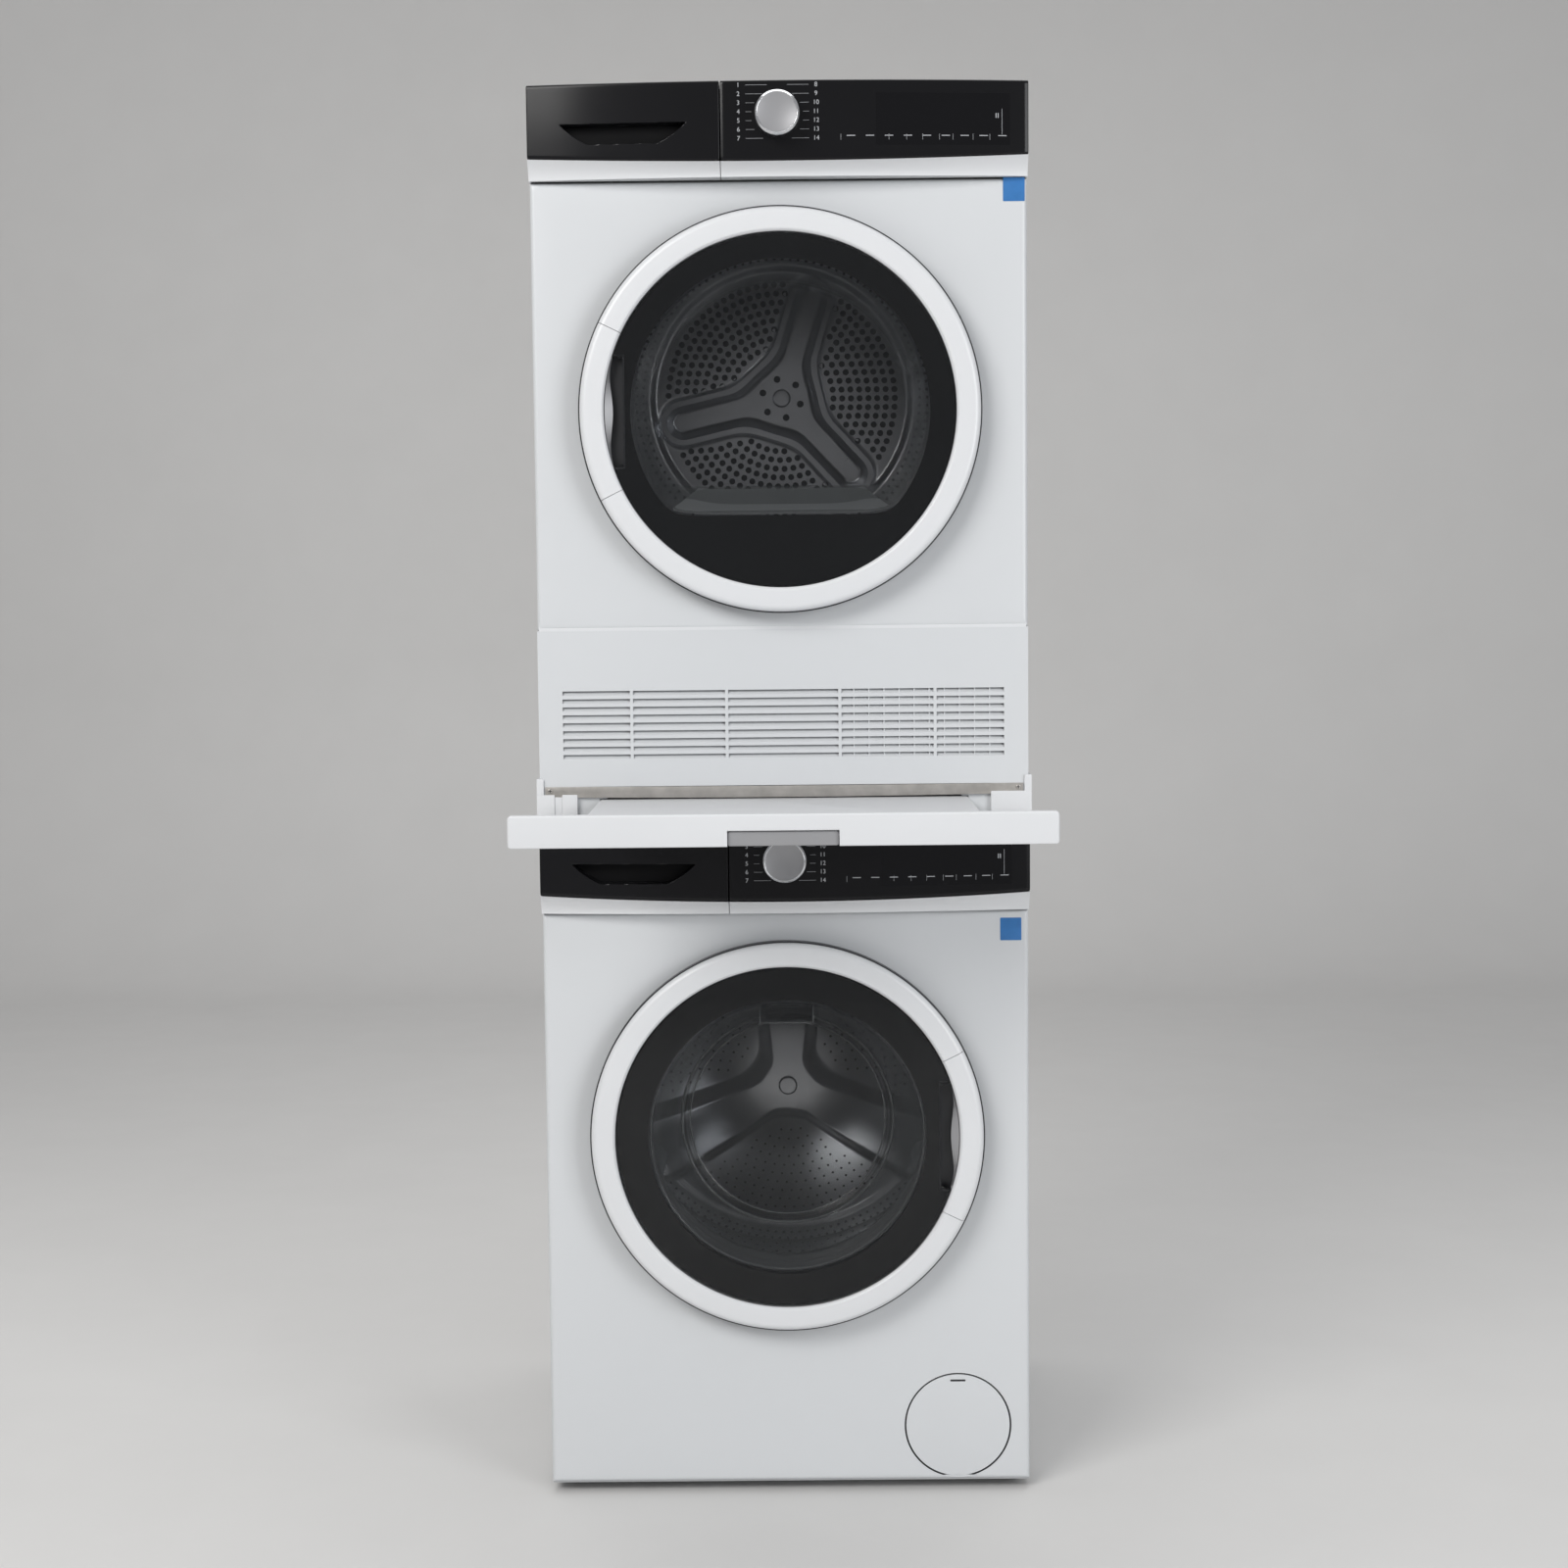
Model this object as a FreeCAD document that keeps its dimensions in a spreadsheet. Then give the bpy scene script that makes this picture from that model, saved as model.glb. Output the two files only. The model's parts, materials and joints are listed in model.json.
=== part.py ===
import FreeCAD, Part
import math
import os

import Sketcher
from FreeCAD import Placement, Rotation, Vector

# A front-loading washer with a dryer stacked on it. Millimetres, X to the right, Y to the back, Z up.
# The origin is on the floor, under the middle of everything with the shelf drawn out.

DRIVING_SIZES = {
    # Cabinets and how they stack
    "cabinet_width": 597,
    "cabinet_depth": 530,
    "washer_height": 840,
    "foot_height": 12,
    "kit_rise": 45,
    "dryer_height": 838,
    "plinth_height": 190,
    "sheet_steel": 1.2,
    "cover_thickness": 3,
    "rear_recess": 18,
    "seam": 1.0,
    # Control panels
    "panel_height": 90,
    "trim_height": 20,
    "panel_proud": 20,
    "panel_bow": 18,
    "trim_slope": 14,
    "panel_wall": 3,
    "drawer_width": 230,
    "pull_drop": 50,
    "pull_height": 22,
    "pull_width": 148,
    "pull_floor_width": 86,
    "pull_floor": 12,
    "knob_radius": 26.5,
    "knob_drop": 42,
    "knob_proud": 25,
    "spindle_radius": 3,
    # Doors
    "door_drop": 386,
    "ring_radius": 242,
    "ring_width": 31,
    "ring_front": 35,
    "ring_back": 13,
    "cover_set_back": 2,
    "cover_glass": 4,
    "grip_angle": 52,
    "scoop_width": 23,
    "scoop_half_height": 66,
    "hinge_inset": 11,
    "hinge_forward": 22,
    "hinge_half_height": 38,
    "knuckle_radius": 6,
    "pin_radius": 3,
    "washer_bowl_inset": 41,
    "washer_bowl_depth": 96,
    "dryer_bowl_inset": 31,
    "dryer_bowl_depth": 58,
    "dryer_bowl_flat": 124,
    "glass_wall": 4,
    "mouth_inset": 21,
    # Washer works
    "tub_radius": 256,
    "tub_wall": 4,
    "tub_start": 84,
    "tub_end": 424,
    "drum_radius": 243,
    "drum_wall": 1.5,
    "drum_mouth_inset": 12,
    "drum_start": 99,
    "drum_end": 404,
    "shaft_radius": 15,
    "lifter_height": 45,
    "lifter_width": 60,
    "drum_pulley_radius": 150,
    "motor_pulley_radius": 12.5,
    "motor_radius": 52,
    "motor_x": -60,
    "motor_z": 100,
    "hatch_from_side": 89.5,
    "hatch_z": 81.5,
    "hatch_radius": 65.5,
    "pump_radius": 34,
    "inlet_radius": 13.2,
    "inlet_spacing": 60,
    "tray_length": 250,
    # Stacking frame and shelf
    "frame_overhang": 4,
    "rail_width": 50,
    "frame_lip": 10,
    "frame_wall": 2.5,
    "cap_forward": 3,
    "strip_height": 9.5,
    "strip_inset": 10.5,
    "shelf_reach": 319,
    "board_inset": 27.5,
    "board_length": 480,
    "board_thickness": 16,
    "board_rise": 13,
    "lip_height": 36,
    "lip_rise": 3,
    "lip_thickness": 14,
    "shelf_pull_width": 123,
    "shelf_pull_height": 17,
    # Dryer works
    "dryer_drum_radius": 266,
    "dryer_drum_rise": 50,
    "dryer_drum_start": 66,
    "dryer_drum_end": 470,
    "dryer_shaft_radius": 12,
    "dryer_pulley_radius": 14,
    "dryer_motor_x": 150,
    "dryer_motor_rise": 115,
    "tank_height": 50,
    "tank_length": 440,
    "filter_half_width": 95,
    "grille_margin": 29.5,
    "grille_low": 34,
    "grille_pitch": 9.7,
    "grille_slot": 5.2,
    "grille_rows": 9,
    # Clearances
    "shaft_clearance": 0.05,
    "moving_gap": 0.6,
    "belt_gap": 0.4,
}

document = FreeCAD.newDocument("washer_dryer_stack")
sheet = document.addObject("Spreadsheet::Sheet", "sizes")
for row, (alias, number) in enumerate(DRIVING_SIZES.items(), start=1):
    sheet.set(f"A{row}", alias)
    sheet.set(f"B{row}", str(number))
    sheet.setAlias(f"B{row}", alias)
document.recompute()


class Size:
    """A length made from cells of the sheet: its formula, and its value at present."""

    def __init__(self, formula, value):
        self.formula = formula
        self.value = value

    def __add__(self, other):
        return combined(self, "+", other, self.value + as_size(other).value)

    def __radd__(self, other):
        return as_size(other) + self

    def __sub__(self, other):
        return combined(self, "-", other, self.value - as_size(other).value)

    def __rsub__(self, other):
        return as_size(other) - self

    def __mul__(self, other):
        return combined(self, "*", other, self.value * as_size(other).value)

    def __rmul__(self, other):
        return as_size(other) * self

    def __truediv__(self, other):
        return combined(self, "/", other, self.value / as_size(other).value)

    def __neg__(self):
        return as_size(0) - self


def as_size(quantity):
    """A plain number as a Size; a Size as it is."""
    return quantity if isinstance(quantity, Size) else Size(repr(float(quantity)), float(quantity))


def combined(left, sign, right, value):
    """The Size that an operation on two others makes."""
    return Size(f"({as_size(left).formula} {sign} {as_size(right).formula})", value)


def cell(alias):
    """The Size that one cell of the sheet holds."""
    return Size(f"{sheet.Name}.{alias}", float(sheet.get(alias)))


# ---------------------------------------------------------------- building blocks

TURN_FROM_Z = {
    "x": Rotation(Vector(0, 0, 1), Vector(1, 0, 0)),
    "y": Rotation(Vector(0, 0, 1), Vector(0, 1, 0)),
    "z": Rotation(),
}


def bind(feature, path, size):
    """Tie one property of a feature to the sheet."""
    feature.setExpression(path, as_size(size).formula)


def bind_place(feature, x, y, z):
    """Tie where a feature stands to the sheet."""
    for axis, size in zip("xyz", (x, y, z)):
        bind(feature, f"Placement.Base.{axis}", size)


def box(x, y, z):
    """A block between a low and a high value along each axis."""
    block = document.addObject("Part::Box", "block")
    for side, (low, high) in zip(("Length", "Width", "Height"), (x, y, z)):
        bind(block, side, high - low)
    bind_place(block, x[0], y[0], z[0])
    return block


def mirrored_span(side, near, far):
    """A low and a high value either right (side +1) or left (side -1) of the middle."""
    return (near, far) if side > 0 else (-far, -near)


def line_place(axis, across, start):
    """Where a shape about a line along an axis starts; across is the line's other two coordinates."""
    first, second = across
    return {"x": (start, first, second), "y": (first, start, second), "z": (first, second, start)}[axis]


def rod(axis, across, span, radius):
    """A cylinder about a line along an axis, from one end of the span to the other."""
    cylinder = document.addObject("Part::Cylinder", "rod")
    cylinder.Placement = Placement(Vector(), TURN_FROM_Z[axis])
    bind(cylinder, "Radius", radius)
    bind(cylinder, "Height", span[1] - span[0])
    bind_place(cylinder, *line_place(axis, across, span[0]))
    return cylinder


def taper(axis, across, span, radii):
    """A cone's frustum about a line along an axis, with a radius at each end of the span."""
    cone = document.addObject("Part::Cone", "taper")
    cone.Placement = Placement(Vector(), TURN_FROM_Z[axis])
    bind(cone, "Radius1", radii[0])
    bind(cone, "Radius2", radii[1])
    bind(cone, "Height", span[1] - span[0])
    bind_place(cone, *line_place(axis, across, span[0]))
    return cone


def wedge(centre, span, radius, middle_angle, spread):
    """A slice of a cylinder along Y: its middle at an angle from +X towards +Z, its spread a Size."""
    piece = rod("y", centre, span, radius)
    bind(piece, "Angle", spread)
    turn = Rotation(Vector(0, 1, 0), -middle_angle - as_size(spread).value / 2)
    piece.Placement = Placement(Vector(), turn.multiply(TURN_FROM_Z["y"]).multiply(Rotation(Vector(0, 0, 1), 0)))
    bind_place(piece, *line_place("y", centre, span[0]))
    return piece


def fuse(*pieces):
    """Several pieces as one; pieces that don't touch stay separate solids."""
    union = document.addObject("Part::MultiFuse", "union")
    union.Shapes = list(pieces)
    return union


def cut(base, *tools):
    """A piece with others taken out of it."""
    difference = document.addObject("Part::Cut", "difference")
    difference.Base = base
    difference.Tool = tools[0] if len(tools) == 1 else fuse(*tools)
    return difference


def common(first, second):
    """What two pieces share."""
    shared = document.addObject("Part::Common", "shared")
    shared.Base = first
    shared.Tool = second
    return shared


def outline_sketch(body, corners, plane):
    """A closed outline of straight sides on one of a body's own planes, each corner tied to the sheet."""
    sketch = body.newObject("Sketcher::SketchObject", "outline")
    support = next(item for item in body.Origin.OriginFeatures if item.Role == plane)
    sketch.AttachmentSupport = [(support, "")]
    sketch.MapMode = "FlatFace"
    sizes = [(as_size(u), as_size(v)) for u, v in corners]
    points = [Vector(u.value, v.value, 0) for u, v in sizes]
    following = points[1:] + points[:1]
    sketch.addGeometry([Part.LineSegment(a, b) for a, b in zip(points, following)], False)
    count = len(points)
    joins = [Sketcher.Constraint("Coincident", i, 2, (i + 1) % count, 1) for i in range(count)]
    sketch.addConstraint(joins)
    for index, (u, v) in enumerate(sizes):
        for kind, size in (("DistanceX", u), ("DistanceY", v)):
            number = sketch.addConstraint(Sketcher.Constraint(kind, -1, 1, index, 1, size.value))
            sketch.setExpression(f"Constraints[{number}]", size.formula)
    return sketch


def turned(centre, outline):
    """A body turned about a line along Y; the outline is pairs of radius and distance behind the front."""
    body = document.addObject("PartDesign::Body", "turned")
    sketch = outline_sketch(body, outline, "XY_Plane")
    revolution = body.newObject("PartDesign::Revolution", "revolution")
    revolution.Profile = sketch
    revolution.ReferenceAxis = (sketch, ["V_Axis"])
    revolution.Angle = 360
    bind_place(body, centre[0], FRONT, centre[1])
    return body


def spoke(centre, angle, radial, span, width):
    """A bar that stands out from a line along Y at an angle from +X towards +Z."""
    cosine, sine = math.cos(math.radians(angle)), math.sin(math.radians(angle))
    bar = document.addObject("Part::Box", "spoke")
    bar.Placement = Placement(Vector(), Rotation(Vector(0, 1, 0), -angle))
    bind(bar, "Length", radial[1] - radial[0])
    bind(bar, "Width", span[1] - span[0])
    bind(bar, "Height", width)
    bind_place(
        bar,
        centre[0] + radial[0] * cosine + width / 2 * sine,
        span[0],
        centre[1] + radial[0] * sine - width / 2 * cosine,
    )
    return bar


nodes = {}


def node(name, feature):
    """Name a finished piece."""
    feature.Label = name
    nodes[name] = feature
    return feature


# ---------------------------------------------------------------- places that pieces share

WIDTH = cell("cabinet_width")
HALF = WIDTH / 2
DEPTH = cell("cabinet_depth")
FRONT = (cell("shelf_reach") - DEPTH) / 2
BACK = FRONT + DEPTH
STEEL = cell("sheet_steel")
SEAM = cell("seam")
WALL = cell("panel_wall")
GAP = cell("moving_gap")
INSIDE = HALF - STEEL
REAR_SHEET = BACK - cell("rear_recess")
WASHER_BASE = cell("foot_height")
WASHER_TOP = cell("washer_height")
DRYER_BASE = WASHER_TOP + cell("kit_rise")
DRYER_TOP = DRYER_BASE + cell("dryer_height")
PLINTH_TOP = DRYER_BASE + cell("plinth_height")
DRAWER_SEAM = cell("drawer_width") - HALF
BOW_FRONT = cell("panel_proud") + cell("panel_bow")
RING_INNER = cell("ring_radius") - cell("ring_width")
MOUTH = RING_INNER - cell("mouth_inset")
WASHER_BOWL = RING_INNER - cell("washer_bowl_inset")
DRYER_BOWL = RING_INNER - cell("dryer_bowl_inset")
HINGE_X = cell("ring_radius") - cell("hinge_inset")
GLASS = cell("glass_wall")


def behind(distance):
    """A place so far behind the cabinets' front plane."""
    return FRONT + distance


class Machine:
    """Where one machine's shared pieces go."""

    def __init__(self, name, base, top, panel_low, hinge_side):
        self.name = name
        self.base = base
        self.top = top
        self.panel_low = panel_low
        self.hinge_side = hinge_side
        self.door_z = top - cell("door_drop")
        self.door = (as_size(0), self.door_z)
        self.trim_low = top - cell("panel_height") - cell("trim_height")


WASHER = Machine("washer", WASHER_BASE, WASHER_TOP, WASHER_BASE, hinge_side=-1)
DRYER = Machine("dryer", DRYER_BASE, DRYER_TOP, PLINTH_TOP + SEAM, hinge_side=1)
MACHINES = (WASHER, DRYER)

# ---------------------------------------------------------------- cabinets


def side_panels(machine):
    """The two painted sides."""
    height = (machine.base, machine.top - cell("cover_thickness"))
    length = (behind(STEEL), BACK)
    return fuse(box((-HALF, -INSIDE), length, height), box((INSIDE, HALF), length, height))


def front_panel(machine, *holes):
    """The painted front, with the door's mouth and the slot for the door's latch."""
    depth = (FRONT, behind(STEEL))
    sheet_metal = box((-HALF, HALF), depth, (machine.panel_low, machine.trim_low - SEAM))
    mouth = rod("y", machine.door, (behind(-5), behind(5)), MOUTH)
    slot = box(
        mirrored_span(-machine.hinge_side, as_size(197), as_size(217)),
        (behind(-5), behind(5)),
        (machine.door_z - 14, machine.door_z + 14),
    )
    return cut(sheet_metal, mouth, slot, *holes)


def back_panel(machine, *holes):
    """The rear sheet, set in between the sides."""
    sheet_metal = box((-INSIDE, INSIDE), (REAR_SHEET - STEEL, REAR_SHEET), (machine.base, machine.top - cell("cover_thickness")))
    return cut(sheet_metal, *holes) if holes else sheet_metal


def bowed_block(x, z, inset):
    """A block whose front bulges forward, set in by a wall where one is asked for."""
    bow = cell("panel_bow")
    radius = (HALF * HALF + bow * bow) / (2 * bow)
    drum = rod("z", (as_size(0), behind(radius - BOW_FRONT)), z, radius - inset)
    return common(box(x, (behind(-BOW_FRONT - 1), FRONT), z), drum)


def hollow_front(x, machine):
    """The outer skin of a control panel or drawer front, hollow inside, flat at its back."""
    low = machine.top - cell("panel_height")
    skin = bowed_block(x, (low, machine.top), as_size(0))
    hollow_z = (low + WALL, machine.top - WALL)
    hollow = common(
        bowed_block((x[0] + WALL, x[1] - WALL), hollow_z, WALL),
        box(x, (behind(-BOW_FRONT), behind(-WALL)), hollow_z),
    )
    return cut(skin, hollow)


def control_panel(machine):
    """The dark panel from the drawer's seam to the right side, with a hole for the knob's spindle."""
    knob_line = (as_size(0), machine.top - cell("knob_drop"))
    spindle = rod("y", knob_line, (behind(-60), behind(10)), cell("spindle_radius") + cell("shaft_clearance"))
    return cut(hollow_front((DRAWER_SEAM + SEAM, HALF), machine), spindle)


def fascia_trim(machine):
    """The light strip under a control panel, sloping back to the cabinet's front."""
    bow = cell("panel_bow")
    radius = (HALF * HALF + bow * bow) / (2 * bow)
    height = (machine.trim_low, machine.trim_low + cell("trim_height"))
    slope = taper("z", (as_size(0), behind(radius - BOW_FRONT)), height, (radius - cell("trim_slope"), radius))
    return common(box((-HALF, HALF), (behind(-BOW_FRONT - 1), FRONT), height), slope)


def drawer_front(machine):
    """The left third of the panel, with a half-moon finger pull sunk into it."""
    top = machine.top - cell("pull_drop")
    bottom = top - cell("pull_height")
    half_top = cell("pull_width") / 2
    half_floor = cell("pull_floor_width") / 2
    height = cell("pull_height")
    rise = (half_top * half_top - half_floor * half_floor - height * height) / (2 * height)
    radius_squared = (half_top * half_top + rise * rise).value
    middle = DRAWER_SEAM - cell("drawer_width") / 2
    radius = Size(f"sqrt({(half_top * half_top + rise * rise).formula})", math.sqrt(radius_squared))
    pull = common(
        rod("y", (middle, top + rise), (behind(-60), behind(-cell("pull_floor"))), radius),
        box((middle - half_top, middle + half_top), (behind(-60), behind(0)), (bottom, top)),
    )
    cup_x = (middle - half_top - WALL, middle + half_top + WALL)
    cup_z = (bottom - WALL, top + WALL)
    cup = common(
        bowed_block(cup_x, cup_z, as_size(0)),
        box(cup_x, (behind(-60), behind(WALL - cell("pull_floor"))), cup_z),
    )
    return cut(fuse(hollow_front((-HALF, DRAWER_SEAM), machine), cup), pull)


def knob(machine):
    """A round programme knob with a bevelled rim, and its spindle."""
    radius = cell("knob_radius")
    spindle = cell("spindle_radius")
    rear = -BOW_FRONT - GAP
    face = -BOW_FRONT - cell("knob_proud")
    bevel = 2.5
    outline = [
        (0, face), (radius - bevel, face), (radius, face + bevel), (radius, rear),
        (spindle, rear), (spindle, -8), (0, -8),
    ]
    return turned((as_size(0), machine.top - cell("knob_drop")), outline)


for machine in MACHINES:
    node(f"{machine.name}_side_panels", side_panels(machine))
    node(f"{machine.name}_control_panel", control_panel(machine))
    node(f"{machine.name}_fascia_trim", fascia_trim(machine))
    node(f"{machine.name}_drawer_front", drawer_front(machine))
    node(f"{machine.name}_knob", knob(machine))

HATCH_X = HALF - cell("hatch_from_side")
pump_line = (HATCH_X, cell("hatch_z"))
HATCH_HINGE_Z = cell("hatch_z") - cell("hatch_radius") + 1
hatch_hole = rod("y", pump_line, (behind(-5), behind(5)), cell("hatch_radius") + SEAM)
hatch_sill = box((HATCH_X - 18, HATCH_X + 18), (behind(-5), behind(5)),
                 (HATCH_HINGE_Z - 1 - SEAM, HATCH_HINGE_Z + 2))
node("washer_front_panel", front_panel(WASHER, hatch_hole, hatch_sill))
node("dryer_front_panel", front_panel(DRYER))

inlet_z = WASHER_TOP - 70
inlet_lines = [(cell("inlet_spacing") * k + 170, inlet_z) for k in (0, 1)]
inlet_holes = [rod("y", line, (REAR_SHEET - 5, REAR_SHEET + 5), cell("inlet_radius") + 1) for line in inlet_lines]
node("washer_back_panel", back_panel(WASHER, *inlet_holes))
node("dryer_back_panel", back_panel(DRYER))


def base_tray(machine):
    """The floor pan, set between the sides."""
    depth = (behind(STEEL), REAR_SHEET - STEEL)
    return box((-INSIDE, INSIDE), depth, (machine.base, machine.base + 2))


def top_cover(machine):
    """The flat lid that rests on the sides."""
    return box((-HALF, HALF), (FRONT, BACK), (machine.top - cell("cover_thickness"), machine.top))


node("base_trays", fuse(*[base_tray(machine) for machine in MACHINES]))
node("top_covers", fuse(*[top_cover(machine) for machine in MACHINES]))


def feet():
    """Four tapered levelling feet."""
    places = [(side * (HALF - 21), y) for side in (-1, 1) for y in (behind(45), BACK - 60)]
    return fuse(*[taper("z", place, (as_size(0), WASHER_BASE), (11, 17)) for place in places])


node("washer_feet", feet())


def plinth_panel():
    """The dryer's kick panel with rows of louvre slots in five blocks."""
    panel = box((-HALF, HALF), (FRONT, behind(STEEL)), (DRYER_BASE, PLINTH_TOP))
    dividers = (-185, -69, 69, 185)
    half_bar = 1.9
    half_width = HALF - cell("grille_margin")
    lefts = [-half_width] + [as_size(place + half_bar) for place in dividers]
    rights = [as_size(place - half_bar) for place in dividers] + [half_width]
    slots = []
    for row_number in range(int(cell("grille_rows").value)):
        low = DRYER_BASE + cell("grille_low") + cell("grille_pitch") * row_number
        for left, right in zip(lefts, rights):
            slots.append(box((left, right), (behind(-2), behind(4)), (low, low + cell("grille_slot"))))
    return cut(panel, *slots)


node("dryer_plinth_panel", plinth_panel())

# ---------------------------------------------------------------- doors


def scoop_block(machine, grow, span):
    """A block round the finger space inside the ring, on the side away from the hinge."""
    reach = mirrored_span(-machine.hinge_side, RING_INNER - cell("scoop_width") - grow, RING_INNER + 5)
    half_height = cell("scoop_half_height") + grow
    return box(reach, span, (machine.door_z - half_height, machine.door_z + half_height))


def scoop(machine, grow, span):
    """The part of the scoop's block that lies inside the ring."""
    return common(scoop_block(machine, grow, span), rod("y", machine.door, span, RING_INNER - 0.5))


def ring_blank(machine):
    """The whole door ring, before the grip is parted from it."""
    outer = cell("ring_radius")
    front = -cell("ring_front")
    back = -cell("ring_back")
    outline = [
        (RING_INNER, front + 3), (RING_INNER + 3, front), (outer - 8, front), (outer, front + 8),
        (outer, back), (RING_INNER, back),
    ]
    return turned(machine.door, outline)


def hinge_span(machine, near, far):
    """A span along X counted outwards from the hinge's axis."""
    return mirrored_span(machine.hinge_side, HINGE_X + near, HINGE_X + far)


def add_door(machine, bowl, frame_mouth):
    """Ring, grip, smoked cover, bowl and rear frame, with the hinge's pin and the latch's hook."""
    away = 0 if machine.hinge_side < 0 else 180
    blank = ring_blank(machine)
    whole = (behind(-40), behind(0))
    sector = wedge(machine.door, whole, cell("ring_radius") + 5, away, cell("grip_angle"))
    wider = wedge(machine.door, whole, cell("ring_radius") + 5, away, cell("grip_angle") + 0.25)
    hinge_height = (machine.door_z - cell("hinge_half_height") - 3, machine.door_z + cell("hinge_half_height") + 3)
    pocket_depth = (behind(4 - cell("ring_front")), behind(1 - cell("ring_back")))
    pocket = box(hinge_span(machine, -23, 12), pocket_depth, hinge_height)
    node(f"{machine.name}_door_ring", cut(blank, wider, pocket))
    node(f"{machine.name}_door_grip", common(blank, sector))

    cover_front = behind(cell("cover_set_back") - cell("ring_front"))
    cover_back = cover_front + cell("cover_glass")
    disc = rod("y", machine.door, (cover_front, cover_back), RING_INNER - 0.4)
    node(f"{machine.name}_door_cover", cut(disc, scoop_block(machine, 0, (behind(-40), behind(-20)))))
    node(f"{machine.name}_door_bowl", bowl)

    plate_front, plate_back = behind(-cell("ring_back")), behind(5 - cell("ring_back"))
    plate = rod("y", machine.door, (plate_front, plate_back), cell("ring_radius") - 6)
    cup = scoop(machine, 2, (cover_back, plate_front))
    finger_space = scoop(machine, 0, (cover_back - 1, behind(-cell("ring_back") - 2)))
    half = cell("hinge_half_height")
    axis_line = (machine.hinge_side * HINGE_X, behind(-cell("hinge_forward")))
    middle = half / 2 - 0.5
    notch = box(hinge_span(machine, -9, 15), (behind(-20), behind(0)),
                (machine.door_z - middle, machine.door_z + middle))
    eyes = []
    for low, high in ((middle, half), (-half, -middle)):
        height = (machine.door_z + low, machine.door_z + high)
        eyes.append(rod("z", axis_line, height, cell("knuckle_radius")))
        arm_depth = (behind(-cell("hinge_forward") - 5), plate_front)
        eyes.append(box(hinge_span(machine, -20, 0), arm_depth, height))
    pin = rod("z", axis_line, (machine.door_z - half, machine.door_z + half), cell("pin_radius"))
    hook_x = mirrored_span(-machine.hinge_side, as_size(203), as_size(207))
    hook = fuse(
        box(hook_x, (plate_back, behind(18)), (machine.door_z - 8, machine.door_z + 8)),
        box(mirrored_span(-machine.hinge_side, as_size(203), as_size(211)), (behind(13), behind(18)),
            (machine.door_z - 8, machine.door_z + 8)),
    )
    body = cut(fuse(cut(plate, frame_mouth, notch), cut(cup, finger_space), *eyes), rim_relief(machine))
    node(f"{machine.name}_door_frame", fuse(body, pin, hook))


def rim_relief(machine):
    """A sliver of room between the rear frame and the ring's rim at the hinge."""
    return box(hinge_span(machine, 2, 20), (behind(-14), behind(-7)), (machine.door_z - 60, machine.door_z + 60))


def washer_bowl():
    """The deep glass bowl: a flange, a tapered wall and a rounded end."""
    wide = WASHER_BOWL
    depth = cell("washer_bowl_depth")
    flange = -cell("ring_back")
    outline = [
        (wide + 16, flange - 4), (wide + 16, flange), (wide, flange), (wide - 6, 10), (wide - 30, depth - 18),
        (wide - 52, depth - 4), (0, depth), (0, depth - GLASS), (wide - 54, depth - 4 - GLASS),
        (wide - 34, depth - 20), (wide - 6 - GLASS, 9), (wide - GLASS, flange - 4),
    ]
    return turned(WASHER.door, outline)


def flat_bottomed(machine, span, radii, flat):
    """A tapered plug with its lower part cut off level."""
    wide = radii[0] + 5
    keep = box((-wide, wide), span, (machine.door_z - flat, machine.door_z + wide))
    return common(taper("y", machine.door, span, radii), keep)


def dryer_bowl():
    """The clear bowl, round above and flat below, on a round flange."""
    wide = DRYER_BOWL
    depth = cell("dryer_bowl_depth")
    flat = cell("dryer_bowl_flat")
    flange_depth = (behind(-cell("ring_back") - 4), behind(-cell("ring_back")))
    flange = rod("y", DRYER.door, flange_depth, wide + 6)
    outer = flat_bottomed(DRYER, (flange_depth[0], behind(depth)), (wide, wide - 17), flat)
    inner_span = (flange_depth[0] - 1, behind(depth - GLASS))
    inner = flat_bottomed(DRYER, inner_span, (wide - GLASS, wide - 16 - GLASS), flat - GLASS)
    return cut(fuse(flange, outer), inner)


through = (behind(-30), behind(5))
washer_mouth = rod("y", WASHER.door, through, WASHER_BOWL + 1.5)
dryer_mouth = flat_bottomed(DRYER, through, (DRYER_BOWL + 2, DRYER_BOWL + 1.5),
                            cell("dryer_bowl_flat") + 2)
add_door(WASHER, washer_bowl(), washer_mouth)
add_door(DRYER, dryer_bowl(), dryer_mouth)


def fixed_hinge(machine):
    """The bracket on the cabinet: a plate, a web and the knuckle that the door's pin turns in."""
    half = cell("hinge_half_height") / 2 - 0.5 - 0.5
    height = (machine.door_z - half, machine.door_z + half)
    axis_line = (machine.hinge_side * HINGE_X, behind(-cell("hinge_forward")))
    plate = box(hinge_span(machine, -28, 4), (behind(-3), FRONT), (machine.door_z - 45, machine.door_z + 45))
    web = box(hinge_span(machine, -4, 4), (behind(-cell("hinge_forward")), behind(-3)), height)
    knuckle = rod("z", axis_line, height, cell("knuckle_radius"))
    bore = rod("z", axis_line, (height[0] - 1, height[1] + 1), cell("pin_radius") + cell("shaft_clearance"))
    return cut(fuse(plate, web, knuckle), bore)


node("door_hinges", fuse(*[fixed_hinge(machine) for machine in MACHINES]))

# ---------------------------------------------------------------- washer works

TUB = cell("tub_radius")
DRUM = cell("drum_radius")


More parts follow.
